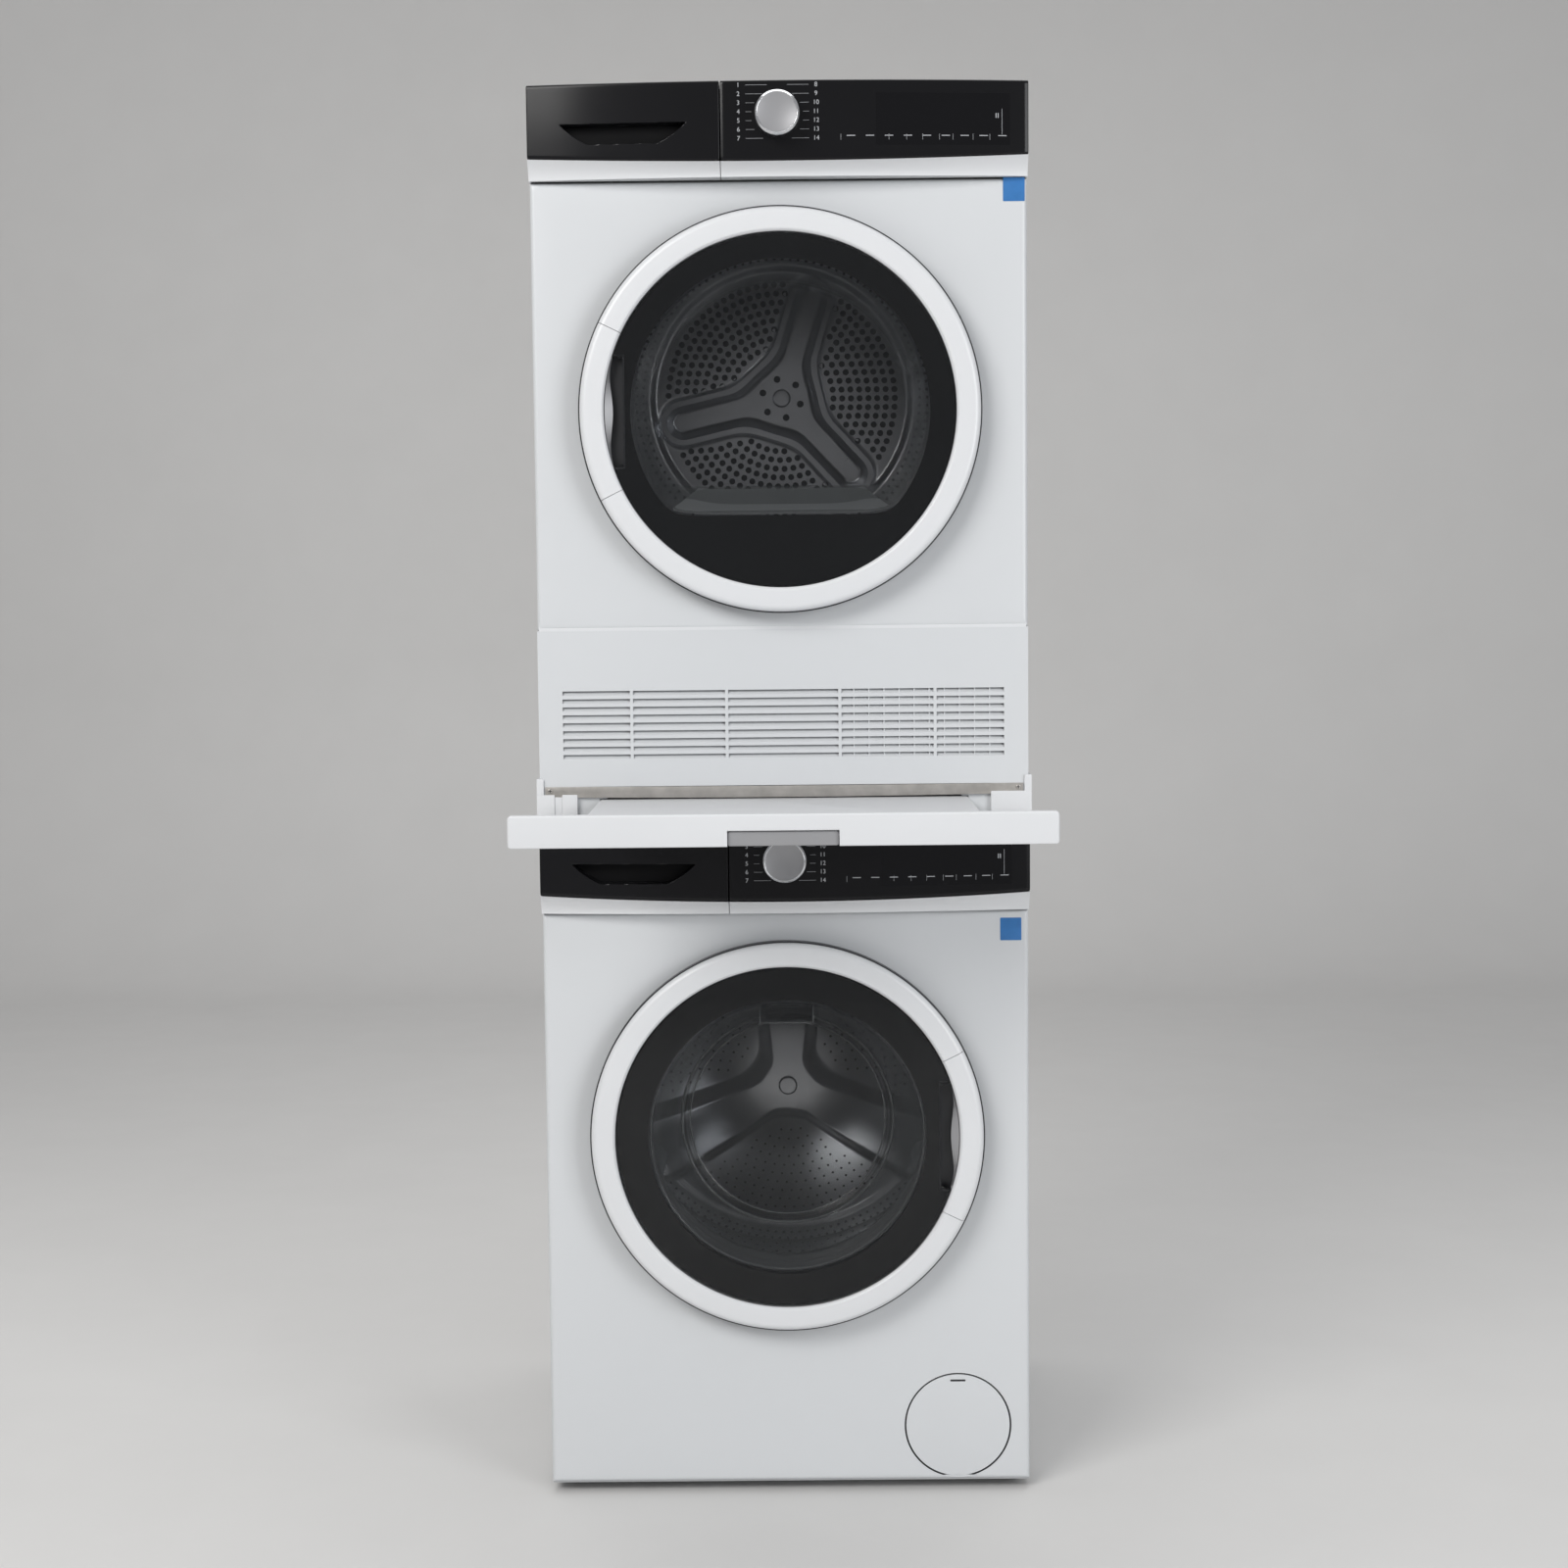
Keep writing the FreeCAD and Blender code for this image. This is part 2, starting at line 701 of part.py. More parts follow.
def washer_tub():
    """The outer tub: open in front, with a bearing hole in its thick back."""
    start, end, wall = cell("tub_start"), cell("tub_end"), cell("tub_wall")
    bore = cell("shaft_radius") + cell("shaft_clearance")
    outline = [
        (MOUTH, start), (TUB, start), (TUB, end), (bore, end), (bore, end - 8), (TUB - wall, end - 8),
        (TUB - wall, start + wall), (MOUTH, start + wall),
    ]
    return turned(WASHER.door, outline)


def door_gasket():
    """The rubber bellows from the front panel's mouth to the tub's mouth."""
    end = cell("tub_start") + 4
    outline = [
        (MOUTH - 18, 2), (MOUTH - 18, 14), (MOUTH - 10, 30), (MOUTH - 17, 48), (MOUTH - 6, end - 4),
        (MOUTH - 6, end), (MOUTH, end), (MOUTH, end - 6), (MOUTH - 13, 48), (MOUTH - 6, 30),
        (MOUTH - 14, 14), (MOUTH - 14, 6), (MOUTH, 6), (MOUTH, 2),
    ]
    return turned(WASHER.door, outline)


def washer_drum():
    """The stainless drum with its turned-in lip, and the shaft behind it."""
    start, end, wall, shaft = cell("drum_start"), cell("drum_end"), cell("drum_wall"), cell("shaft_radius")
    lip = MOUTH - cell("drum_mouth_inset")
    outline = [
        (lip, start), (DRUM, start), (DRUM, end), (shaft, end), (shaft, end + 48), (0, end + 48),
        (0, end - wall), (DRUM - wall, end - wall), (DRUM - wall, start + wall), (lip, start + wall),
    ]
    return turned(WASHER.door, outline)


def drum_pulley():
    """The big belt pulley on the drum's shaft."""
    shaft, rim, start = cell("shaft_radius"), cell("drum_pulley_radius"), cell("drum_end") + 28
    outline = [
        (shaft, start), (shaft + 13, start), (shaft + 13, start + 6), (rim - 12, start + 6), (rim - 12, start),
        (rim, start), (rim, start + 16), (rim - 12, start + 16), (rim - 12, start + 10),
        (shaft + 13, start + 10), (shaft + 13, start + 18), (shaft, start + 18),
    ]
    return turned(WASHER.door, outline)


def lifters(centre, drum_inner, height, width, span):
    """Three bars along the inside of a drum."""
    bars = [spoke(centre, angle, (drum_inner - height, drum_inner + 8), span, width) for angle in (90, 210, 330)]
    return common(fuse(*bars), rod("y", centre, span, drum_inner))


lifter_span = (behind(cell("drum_start") + 12), behind(cell("drum_end") - 20))
node("washer_tub", washer_tub())
node("washer_door_gasket", door_gasket())
node("washer_drum", washer_drum())
node("washer_drum_pulley", drum_pulley())
node("washer_drum_lifters", lifters(WASHER.door, DRUM - cell("drum_wall"), cell("lifter_height"),
                                    cell("lifter_width"), lifter_span))


def counterweights():
    """Two concrete segments on the tub's front, above and below the mouth."""
    span = (behind(cell("tub_start") - 36), behind(cell("tub_start")))
    ring = cut(rod("y", WASHER.door, span, TUB - 2), rod("y", WASHER.door, span, MOUTH + 12))
    return cut(ring, box((-TUB, TUB), span, (WASHER.door_z - 60, WASHER.door_z + 60)))


def suspension():
    """Two hanging springs and two pairs of dampers, ending on the tub's side."""
    rods = []
    for x in (-150, 150):
        for y in (140, 350):
            rods.append(rod("z", (as_size(x), behind(y)), (WASHER_BASE + 2, WASHER.door_z), 9))
        rods.append(rod("z", (as_size(x * 1.5), behind(245)), (WASHER.door_z, WASHER.top - 90), 8))
    return cut(fuse(*rods), rod("y", WASHER.door, (behind(0), behind(500)), TUB))


def washer_motor():
    """The drive motor with its bracket up to the tub."""
    line = (cell("motor_x"), cell("motor_z"))
    body = rod("y", line, (behind(250), behind(420)), cell("motor_radius"))
    bracket = box((cell("motor_x") - 20, cell("motor_x") + 20), (behind(290), behind(380)),
                  (cell("motor_z"), WASHER.door_z - TUB + 30))
    bore = rod("y", line, (behind(240), behind(430)), 5 + cell("shaft_clearance"))
    return cut(fuse(body, bracket), rod("y", WASHER.door, (behind(0), behind(500)), TUB), bore)


def motor_pulley():
    """The small pulley on the motor's shaft."""
    start = cell("drum_end") + 28
    radius = cell("motor_pulley_radius")
    outline = [(0, 252), (5, 252), (5, start), (radius, start), (radius, start + 16), (0, start + 16)]
    return turned((cell("motor_x"), cell("motor_z")), outline)


def open_belt(big, small, radii, span, thickness):
    """A belt round two pulleys: straight runs joined by arcs, a gap away from both rims."""
    along = Vector(small[0] - big[0], 0, small[1] - big[1])
    distance = along.Length
    along.normalize()
    square = Vector(-along.z, 0, along.x)

    def loop(grow):
        large, little = radii[0] + grow, radii[1] + grow
        cosine = (large - little) / distance
        sine = math.sqrt(1 - cosine * cosine)
        centres = (Vector(big[0], span[0], big[1]), Vector(small[0], span[0], small[1]))
        points = []
        for centre, radius in zip(centres, (large, little)):
            for side in (1, -1):
                points.append(centre + along * (radius * cosine) + square * (radius * sine * side))
        far_big = centres[0] - along * large
        far_small = centres[1] + along * little
        return Part.Wire([
            Part.LineSegment(points[0], points[2]).toShape(),
            Part.Arc(points[2], far_small, points[3]).toShape(),
            Part.LineSegment(points[3], points[1]).toShape(),
            Part.Arc(points[1], far_big, points[0]).toShape(),
        ])

    length = Vector(0, span[1] - span[0], 0)
    outer = Part.Face(loop(thickness)).extrude(length)
    return outer.cut(Part.Face(loop(0)).extrude(length))


def drive_belts():
    """The washer's and the dryer's belts."""
    gap = cell("belt_gap").value
    start = FRONT.value + cell("drum_end").value + 30
    washer_belt = open_belt(
        (0, WASHER.door_z.value), (cell("motor_x").value, cell("motor_z").value),
        (cell("drum_pulley_radius").value + gap, cell("motor_pulley_radius").value + gap), (start, start + 12), 3)
    start = FRONT.value + 248
    dryer_belt = open_belt(
        (0, DRYER_LINE[1].value), (DRYER_MOTOR[0].value, DRYER_MOTOR[1].value),
        (cell("dryer_drum_radius").value + gap, cell("dryer_pulley_radius").value + gap), (start, start + 8), 2)
    feature = document.addObject("Part::Feature", "belts")
    feature.Shape = Part.makeCompound([washer_belt, dryer_belt])
    return feature


DRYER_LINE = (as_size(0), DRYER.door_z + cell("dryer_drum_rise"))
DRYER_MOTOR = (cell("dryer_motor_x"), DRYER_BASE + cell("dryer_motor_rise"))
node("washer_counterweights", counterweights())
node("washer_suspension", suspension())
node("washer_motor", washer_motor())
node("washer_motor_pulley", motor_pulley())
node("drive_belts", drive_belts())


def tray_box(x, y, z, wall):
    """An open-topped tray."""
    inner = box((x[0] + wall, x[1] - wall), (y[0] + wall, y[1] - wall), (z[0] + wall, z[1] + 1))
    return cut(box(x, y, z), inner)


def drawer_sleeve(x, y, z, wall):
    """A case that a drawer slides in, open in front."""
    inner = box((x[0] + wall, x[1] - wall), (y[0] - 1, y[1] - wall), (z[0] + wall, z[1] - wall))
    return cut(box(x, y, z), inner)


drawer_x = (8 - HALF, DRAWER_SEAM - 8)
sleeve_x = (drawer_x[0] - 3, drawer_x[1] + 3)
tray_z = (WASHER_TOP - 79, WASHER_TOP - 14)
tray_y = (FRONT, behind(cell("tray_length")))


def dispenser_tray():
    """The detergent tray with three compartments."""
    third = (drawer_x[1] - drawer_x[0]) / 3
    walls = [
        box((drawer_x[0] + third * k - 1, drawer_x[0] + third * k + 1), tray_y, (tray_z[0], tray_z[1] - 12))
        for k in (1, 2)
    ]
    return fuse(tray_box(drawer_x, tray_y, tray_z, 2), *walls)


node("washer_dispenser_tray", dispenser_tray())

tank_z = (DRYER_TOP - 11 - cell("tank_height"), DRYER_TOP - 11)
tank_y = (FRONT, behind(cell("tank_length")))


def water_tank():
    """The condensate tank: a closed flat canister with a filling hole at its rear."""
    wall = 3
    hollow = box((drawer_x[0] + wall, drawer_x[1] - wall), (tank_y[0] + wall, tank_y[1] - wall),
                 (tank_z[0] + wall, tank_z[1] - wall))
    middle = (drawer_x[0] + drawer_x[1]) / 2
    filler = rod("z", (middle, tank_y[1] - 60), (tank_z[1] - 5, tank_z[1] + 1), 15)
    return cut(box(drawer_x, tank_y, tank_z), hollow, filler)


node("dryer_water_tank", water_tank())
dispenser_case = drawer_sleeve(sleeve_x, (behind(STEEL), tray_y[1] + 12), (tray_z[0] - 3, tray_z[1] + 9), 2)
tank_case = drawer_sleeve(sleeve_x, (behind(STEEL), tank_y[1] + 12), (tank_z[0] - 3, tank_z[1] + 4), 2)
node("drawer_housings", fuse(dispenser_case, tank_case))


def pump_hatch():
    """The round hatch, flush with the front, with a pull slot at its top and a hinge bead along its foot."""
    disc = rod("y", pump_line, (FRONT, behind(2)), cell("hatch_radius"))
    top = cell("hatch_z") + cell("hatch_radius")
    slot = box((HATCH_X - 9.5, HATCH_X + 9.5), (behind(-1), behind(3)), (top - 14, top - 11.5))
    below = box((HATCH_X - 14, HATCH_X + 14), (behind(-1), behind(3)), (HATCH_HINGE_Z - 3, HATCH_HINGE_Z))
    bead = rod("x", (behind(1), HATCH_HINGE_Z), (HATCH_X - 11, HATCH_X + 11), 1)
    return fuse(cut(disc, slot, below), bead)


def filter_cap():
    """The pump filter's cap: a flange, a finger bar and the plug behind it."""
    flange = rod("y", pump_line, (behind(14), behind(20)), cell("pump_radius"))
    bar = box((HATCH_X - 25, HATCH_X + 25), (behind(6), behind(14)),
              (cell("hatch_z") - 4, cell("hatch_z") + 4))
    plug = rod("y", pump_line, (behind(20), behind(60)), cell("pump_radius") - 6)
    return fuse(flange, bar, plug)


def drain_pump():
    """The pump's body with the bore that the filter's plug turns in."""
    body = rod("y", pump_line, (behind(20) + GAP, behind(160)), cell("pump_radius"))
    bore_radius = cell("pump_radius") - 6 + cell("shaft_clearance")
    motor = rod("y", pump_line, (behind(160), behind(215)), 24)
    return cut(fuse(body, motor), rod("y", pump_line, (behind(10), behind(64)), bore_radius))


def inlet_valve():
    """The water valve: a block inside the rear sheet and two round inlets through it."""
    block = box((as_size(145), 195 + cell("inlet_spacing")), (REAR_SHEET - 60, REAR_SHEET - 2),
                (inlet_z - 22, inlet_z + 22))
    return fuse(block, *[rod("y", line, (REAR_SHEET - 10, BACK), cell("inlet_radius")) for line in inlet_lines])


node("pump_hatch", pump_hatch())
node("pump_filter_cap", filter_cap())
node("washer_drain_pump", drain_pump())
node("washer_inlet_valve", inlet_valve())

# ---------------------------------------------------------------- stacking frame and shelf

FRAME_HALF = HALF + cell("frame_overhang")
FRAME_INNER = FRAME_HALF - cell("rail_width")
BOARD_HALF = FRAME_INNER - cell("board_inset")
BOARD_LOW = WASHER_TOP + cell("board_rise")
BOARD_TOP = BOARD_LOW + cell("board_thickness")
LIP_FRONT = behind(-cell("shelf_reach"))
LIP_LOW = WASHER_TOP + cell("lip_rise")
screw_lines = [(side * (FRAME_HALF - cell("strip_inset") - 6), DRYER_BASE - cell("strip_height") / 2) for side in (-1, 1)]


def stacking_frame():
    """Two hollow side rails with shelf runners and outer lips, joined by a rear beam."""
    pieces = []
    wall = cell("frame_wall")
    for side in (-1, 1):
        outer = box(mirrored_span(side, FRAME_INNER, FRAME_HALF), (FRONT, BACK), (WASHER_TOP, DRYER_BASE))
        inner = box(mirrored_span(side, FRAME_INNER + wall, FRAME_HALF - wall), (behind(wall), BACK + 1),
                    (WASHER_TOP + wall, DRYER_BASE - wall))
        pieces.append(cut(outer, inner))
        lip_z = (DRYER_BASE, DRYER_BASE + cell("frame_lip"))
        pieces.append(box(mirrored_span(side, HALF + 0.5, FRAME_HALF), (FRONT, BACK), lip_z))
        runner_z = (BOARD_LOW - GAP - 4, BOARD_TOP + GAP + 4)
        channel = box(mirrored_span(side, BOARD_HALF - 8, FRAME_INNER), (behind(4), BACK - 42), runner_z)
        groove_z = (BOARD_LOW - GAP, BOARD_TOP + GAP)
        groove = box(mirrored_span(side, BOARD_HALF - 9, BOARD_HALF + GAP), (behind(3), BACK - 41), groove_z)
        pieces.append(cut(channel, groove))
    beam = box((-FRAME_INNER, FRAME_INNER), (BACK - 40, BACK - 4), (WASHER_TOP, DRYER_BASE))
    screws = [rod("y", line, (behind(-5), behind(10)), as_size(2)) for line in screw_lines]
    return cut(fuse(*pieces, beam), *screws)


def end_caps():
    """The caps on the front of both rails, each with a narrow outer horn beside the dryer."""
    depth = (behind(-cell("cap_forward")), FRONT)
    cap_top = DRYER_BASE - cell("strip_height")
    caps = []
    for side in (-1, 1):
        caps.append(box(mirrored_span(side, FRAME_INNER, FRAME_HALF), depth, (WASHER_TOP, cap_top)))
        horn_z = (cap_top, DRYER_BASE + cell("frame_lip"))
        caps.append(box(mirrored_span(side, FRAME_HALF - 9, FRAME_HALF), depth, horn_z))
    slot = box((22 - FRAME_HALF, 31 - FRAME_HALF), (behind(-4), behind(-1)), (WASHER_TOP + 4, cap_top - 5))
    return cut(fuse(*caps), slot)


def cross_strip():
    """The bare metal strip under the dryer's front."""
    half = FRAME_HALF - cell("strip_inset")
    strip = box((-half, half), (behind(-1.5), FRONT), (DRYER_BASE - cell("strip_height"), DRYER_BASE))
    holes = [rod("y", line, (behind(-5), behind(5)), as_size(2)) for line in screw_lines]
    return cut(strip, *holes)


def frame_screws():
    """Two round-headed screws through the strip."""
    screws = []
    for line in screw_lines:
        screws.append(rod("y", line, (behind(-3.5), behind(-1.5)), as_size(3)))
        screws.append(rod("y", line, (behind(-1.5), behind(8)), as_size(2)))
    return fuse(*screws)


def shelf_front():
    """The shelf's lip, with a cut at the middle of its lower edge for the pull."""
    block = box((-FRAME_HALF, FRAME_HALF), (LIP_FRONT, LIP_FRONT + cell("lip_thickness")),
                (LIP_LOW, LIP_LOW + cell("lip_height")))
    half = cell("shelf_pull_width") / 2
    pull = box((-half, half), (LIP_FRONT - 1, LIP_FRONT + 12), (LIP_LOW - 1, LIP_LOW + cell("shelf_pull_height")))
    return cut(block, pull)


def shelf_handle():
    """The pull's insert: a cup open to the front and below."""
    half = cell("shelf_pull_width") / 2
    top = LIP_LOW + cell("shelf_pull_height")
    block = box((-half, half), (LIP_FRONT + 0.5, LIP_FRONT + 12), (LIP_LOW, top))
    return cut(block, box((2 - half, half - 2), (LIP_FRONT - 1, LIP_FRONT + 10), (LIP_LOW - 1, top - 2)))


node("stacking_frame", stacking_frame())
node("frame_end_caps", end_caps())
node("frame_cross_strip", cross_strip())
node("frame_screws", frame_screws())
board_y = (LIP_FRONT + cell("lip_thickness"), LIP_FRONT + cell("lip_thickness") + cell("board_length"))
node("shelf_board", box((-BOARD_HALF, BOARD_HALF), board_y, (BOARD_LOW, BOARD_TOP)))
node("shelf_front", shelf_front())
node("shelf_handle", shelf_handle())

# ---------------------------------------------------------------- dryer works

DRYER_DRUM = cell("dryer_drum_radius")
filter_z = (DRYER.door_z - MOUTH - 92, DRYER.door_z - MOUTH - 4)
filter_half = cell("filter_half_width")


def front_bulkhead():
    """The plate behind the front panel that closes the drum, with the lint filter's pocket."""
    plate_top = DRYER.top - 80
    plate = box((3 - HALF, HALF - 3), (behind(44), behind(58)), (PLINTH_TOP + 10, plate_top))
    collar = rod("y", DRYER.door, (behind(STEEL), behind(44)), MOUTH + 4)
    pocket = box((-filter_half - 5, filter_half + 5), (behind(16), behind(44)), (filter_z[0] - 4, filter_z[1] + 2))
    room = box((-filter_half - GAP, filter_half + GAP), (behind(22) - GAP, behind(38) + GAP),
               (filter_z[0] - 1, filter_z[1] + 120))
    mouth = rod("y", DRYER.door, (behind(0), behind(60)), MOUTH)
    return cut(fuse(plate, collar, pocket), room, mouth)


def rear_bulkhead():
    """The plate behind the drum that carries its bearing."""
    plate = box((3 - HALF, HALF - 3), (behind(478), behind(486)), (PLINTH_TOP + 10, DRYER.top - 64))
    return cut(plate, rod("y", DRYER_LINE, (behind(470), behind(490)),
                          cell("dryer_shaft_radius") + cell("shaft_clearance")))


def dryer_drum():
    """The dryer's drum, open in front, with a short shaft at its back."""
    start, end, wall = cell("dryer_drum_start"), cell("dryer_drum_end"), cell("drum_wall")
    shaft = cell("dryer_shaft_radius")
    outline = [
        (DRYER_DRUM, start), (DRYER_DRUM, end), (shaft, end), (shaft, end + 24), (0, end + 24),
        (0, end - wall), (DRYER_DRUM - wall, end - wall), (DRYER_DRUM - wall, start),
    ]
    return turned(DRYER_LINE, outline)


def dryer_rotor():
    """The motor's shaft with the belt pulley in front and the fan wheel behind."""
    pulley, shaft, fan = cell("dryer_pulley_radius"), 5, 60
    outline = [
        (0, 246), (pulley, 246), (pulley, 262), (shaft, 262), (shaft, 436), (fan, 436), (fan, 466), (0, 466),
    ]
    return turned(DRYER_MOTOR, outline)


def dryer_motor():
    """The motor's body on its foot."""
    body = rod("y", DRYER_MOTOR, (behind(280), behind(420)), 50)
    foot = box((DRYER_MOTOR[0] - 40, DRYER_MOTOR[0] + 40), (behind(300), behind(400)),
               (DRYER_BASE + 2, DRYER_MOTOR[1]))
    return cut(fuse(body, foot), rod("y", DRYER_MOTOR, (behind(270), behind(430)), 5 + cell("shaft_clearance")))


def condenser():
    """The heat exchanger: a case open in front and behind, with upright fins along the air's way."""
    low, high = DRYER_BASE + 2, DRYER_BASE + 150
    span = (behind(60), behind(440))
    case = cut(box((as_size(-250), as_size(60)), span, (low, high)),
               box((as_size(-247), as_size(57)), (span[0] - 1, span[1] + 1), (low + 3, high - 3)))
    fins = [box((as_size(x), as_size(x + 1.5)), span, (low + 3, high - 3)) for x in range(-230, 50, 20)]
    return fuse(case, *fins)


node("dryer_bulkheads", fuse(front_bulkhead(), rear_bulkhead()))
node("dryer_drum", dryer_drum())
dryer_lifter_span = (behind(cell("dryer_drum_start") + 10), behind(cell("dryer_drum_end") - 12))
node("dryer_drum_lifters", lifters(DRYER_LINE, DRYER_DRUM - cell("drum_wall"), as_size(50), as_size(46),
                                   dryer_lifter_span))
node("dryer_rotor", dryer_rotor())
node("dryer_motor", dryer_motor())
node("dryer_condenser", condenser())
node("lint_filter", box((-filter_half, filter_half), (behind(22), behind(38)), filter_z))

# ---------------------------------------------------------------- build, test and write

document.recompute()
faults = [item.Name for item in document.Objects if {"Invalid", "Error"} & set(item.State)]
faults += [name for name, item in nodes.items() if item.Shape.isNull() or not item.Shape.isValid()]
if faults:
    raise RuntimeError(f"features that failed: {faults}")
os.makedirs("parts", exist_ok=True)
for name, item in nodes.items():
    item.Shape.exportStep(f"parts/{name}.step")
print(len(nodes), "sub-parts written")
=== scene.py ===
"""A washer with a dryer stacked on it: the looks of every piece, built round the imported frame.

Everything is in metres, X to the right, Y to the back, Z up. Sizes come from the frame's own boxes.
"""

import json
import logging
import math
from dataclasses import dataclass, field
from enum import Enum

import bmesh
import bpy
import numpy as np
from mathutils import Matrix, Vector

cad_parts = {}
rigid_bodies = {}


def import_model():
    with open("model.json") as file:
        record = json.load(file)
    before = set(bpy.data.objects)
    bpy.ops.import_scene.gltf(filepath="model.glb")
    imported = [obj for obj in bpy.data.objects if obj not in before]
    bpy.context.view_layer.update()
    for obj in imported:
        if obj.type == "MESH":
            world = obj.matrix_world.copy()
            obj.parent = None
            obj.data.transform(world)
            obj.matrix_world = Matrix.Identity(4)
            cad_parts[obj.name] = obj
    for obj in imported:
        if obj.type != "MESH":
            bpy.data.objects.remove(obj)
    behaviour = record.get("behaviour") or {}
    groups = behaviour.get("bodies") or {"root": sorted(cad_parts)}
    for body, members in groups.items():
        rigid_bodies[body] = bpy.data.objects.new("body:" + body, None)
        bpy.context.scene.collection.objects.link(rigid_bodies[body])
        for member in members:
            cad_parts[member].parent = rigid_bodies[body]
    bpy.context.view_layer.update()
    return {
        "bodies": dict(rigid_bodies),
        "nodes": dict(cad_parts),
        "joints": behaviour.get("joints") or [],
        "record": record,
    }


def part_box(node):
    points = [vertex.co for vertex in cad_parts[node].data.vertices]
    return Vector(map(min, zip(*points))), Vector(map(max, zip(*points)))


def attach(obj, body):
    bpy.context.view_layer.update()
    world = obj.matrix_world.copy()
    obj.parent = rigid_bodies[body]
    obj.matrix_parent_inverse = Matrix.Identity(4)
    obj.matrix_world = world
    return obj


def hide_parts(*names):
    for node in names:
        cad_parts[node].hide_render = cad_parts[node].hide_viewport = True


LOG = logging.getLogger("washer_dryer_stack")

EDGE_STEPS = 6          # profile points in each rounded edge of the bowed panel
FACE_STEPS = 30         # profile points up its face
FACE_START = EDGE_STEPS + 1
FACE_END = FACE_START + FACE_STEPS
DOOR_OPENING = 0.190    # radius of the round hole in a front sheet
FLANGE_DEPTH = 0.016    # how far a front sheet's edges are turned back
FLOOR_LEVEL = -0.0004   # the studio floor lies just under the feet


# ---------------------------------------------------------------- finishes


class Grain(Enum):
    """How a finish's fine relief runs."""

    MOULDED = (1.0, 1.0, 1.0)
    TURNED = (1.0, 0.05, 1.0)
    DRAWN = (0.04, 1.0, 1.0)


@dataclass(frozen=True)
class Finish:
    """One procedural finish: a principled surface with mottled colour and roughness and a fine relief.

    Lengths are in metres; ``relief_depth`` is the height of the bumps.
    """

    name: str
    colour: tuple[float, float, float]
    roughness: float = 0.4
    metallic: float = 0.0
    mottle: float = 0.04
    mottle_scale: float = 5.0
    relief_scale: float = 900.0
    relief_depth: float = 0.00004
    grain: Grain = Grain.MOULDED
    coat: float = 0.0
    alpha: float = 1.0
    rim_alpha: float = 1.0
    speculars: float = 0.5

    def material(self) -> bpy.types.Material:
        """Make the material, or return it if it was made before.

        Returns:
            The Blender material.
        """
        made = bpy.data.materials.get(self.name)
        if made:
            return made
        material = bpy.data.materials.new(self.name)
        material.use_nodes = True
        nodes, links = material.node_tree.nodes, material.node_tree.links
        shader = nodes["Principled BSDF"]
        shader.inputs["Metallic"].default_value = self.metallic
        shader.inputs["Specular IOR Level"].default_value = self.speculars
        shader.inputs["Coat Weight"].default_value = self.coat
        shader.inputs["Coat Roughness"].default_value = 0.06
        place = nodes.new("ShaderNodeTexCoord").outputs["Object"]
        broad = self._noise(nodes, links, place, self.mottle_scale, 4.0)
        ramp = nodes.new("ShaderNodeValToRGB")
        ramp.color_ramp.elements[0].position, ramp.color_ramp.elements[1].position = 0.3, 0.7
        for element, shift in zip(ramp.color_ramp.elements, (1 - self.mottle, 1 + self.mottle)):
            element.color = (*[min(1.0, value * shift) for value in self.colour], 1.0)
        links.new(broad, ramp.inputs["Fac"])
        links.new(ramp.outputs["Color"], shader.inputs["Base Color"])
        self._roughness(nodes, links, place, shader)
        self._relief(nodes, links, place, shader)
        if self.alpha < 1.0:
            self._clearness(nodes, links, shader)
        return material

    @staticmethod
    def _noise(nodes, links, place, scale: float, detail: float):
        """Add a noise texture and return its factor socket."""
        noise = nodes.new("ShaderNodeTexNoise")
        noise.inputs["Scale"].default_value = scale
        noise.inputs["Detail"].default_value = detail
        links.new(place, noise.inputs["Vector"])
        return noise.outputs["Fac"]

    def _roughness(self, nodes, links, place, shader) -> None:
        """Vary the roughness a little, as handling and cleaning do."""
        smear = self._noise(nodes, links, place, self.mottle_scale * 2.7, 6.0)
        spread = nodes.new("ShaderNodeMapRange")
        spread.inputs["To Min"].default_value = max(0.02, self.roughness * 0.8)
        spread.inputs["To Max"].default_value = min(1.0, self.roughness * 1.2)
        links.new(smear, spread.inputs["Value"])
        links.new(spread.outputs["Result"], shader.inputs["Roughness"])

    def _relief(self, nodes, links, place, shader) -> None:
        """Add the fine relief, drawn out along the grain."""
        stretch = nodes.new("ShaderNodeMapping")
        stretch.inputs["Scale"].default_value = self.grain.value
        links.new(place, stretch.inputs["Vector"])
        fine = self._noise(nodes, links, stretch.outputs["Vector"], self.relief_scale, 2.0)
        bump = nodes.new("ShaderNodeBump")
        bump.inputs["Distance"].default_value = self.relief_depth
        bump.inputs["Strength"].default_value = 0.6
        links.new(fine, bump.inputs["Height"])
        links.new(bump.outputs["Normal"], shader.inputs["Normal"])

    def _clearness(self, nodes, links, shader) -> None:
        """Let light through, less of it where the surface is seen edge on."""
        facing = nodes.new("ShaderNodeLayerWeight")
        facing.inputs["Blend"].default_value = 0.35
        spread = nodes.new("ShaderNodeMapRange")
        spread.inputs["To Min"].default_value = self.alpha
        spread.inputs["To Max"].default_value = self.rim_alpha
        links.new(facing.outputs["Facing"], spread.inputs["Value"])
        links.new(spread.outputs["Result"], shader.inputs["Alpha"])


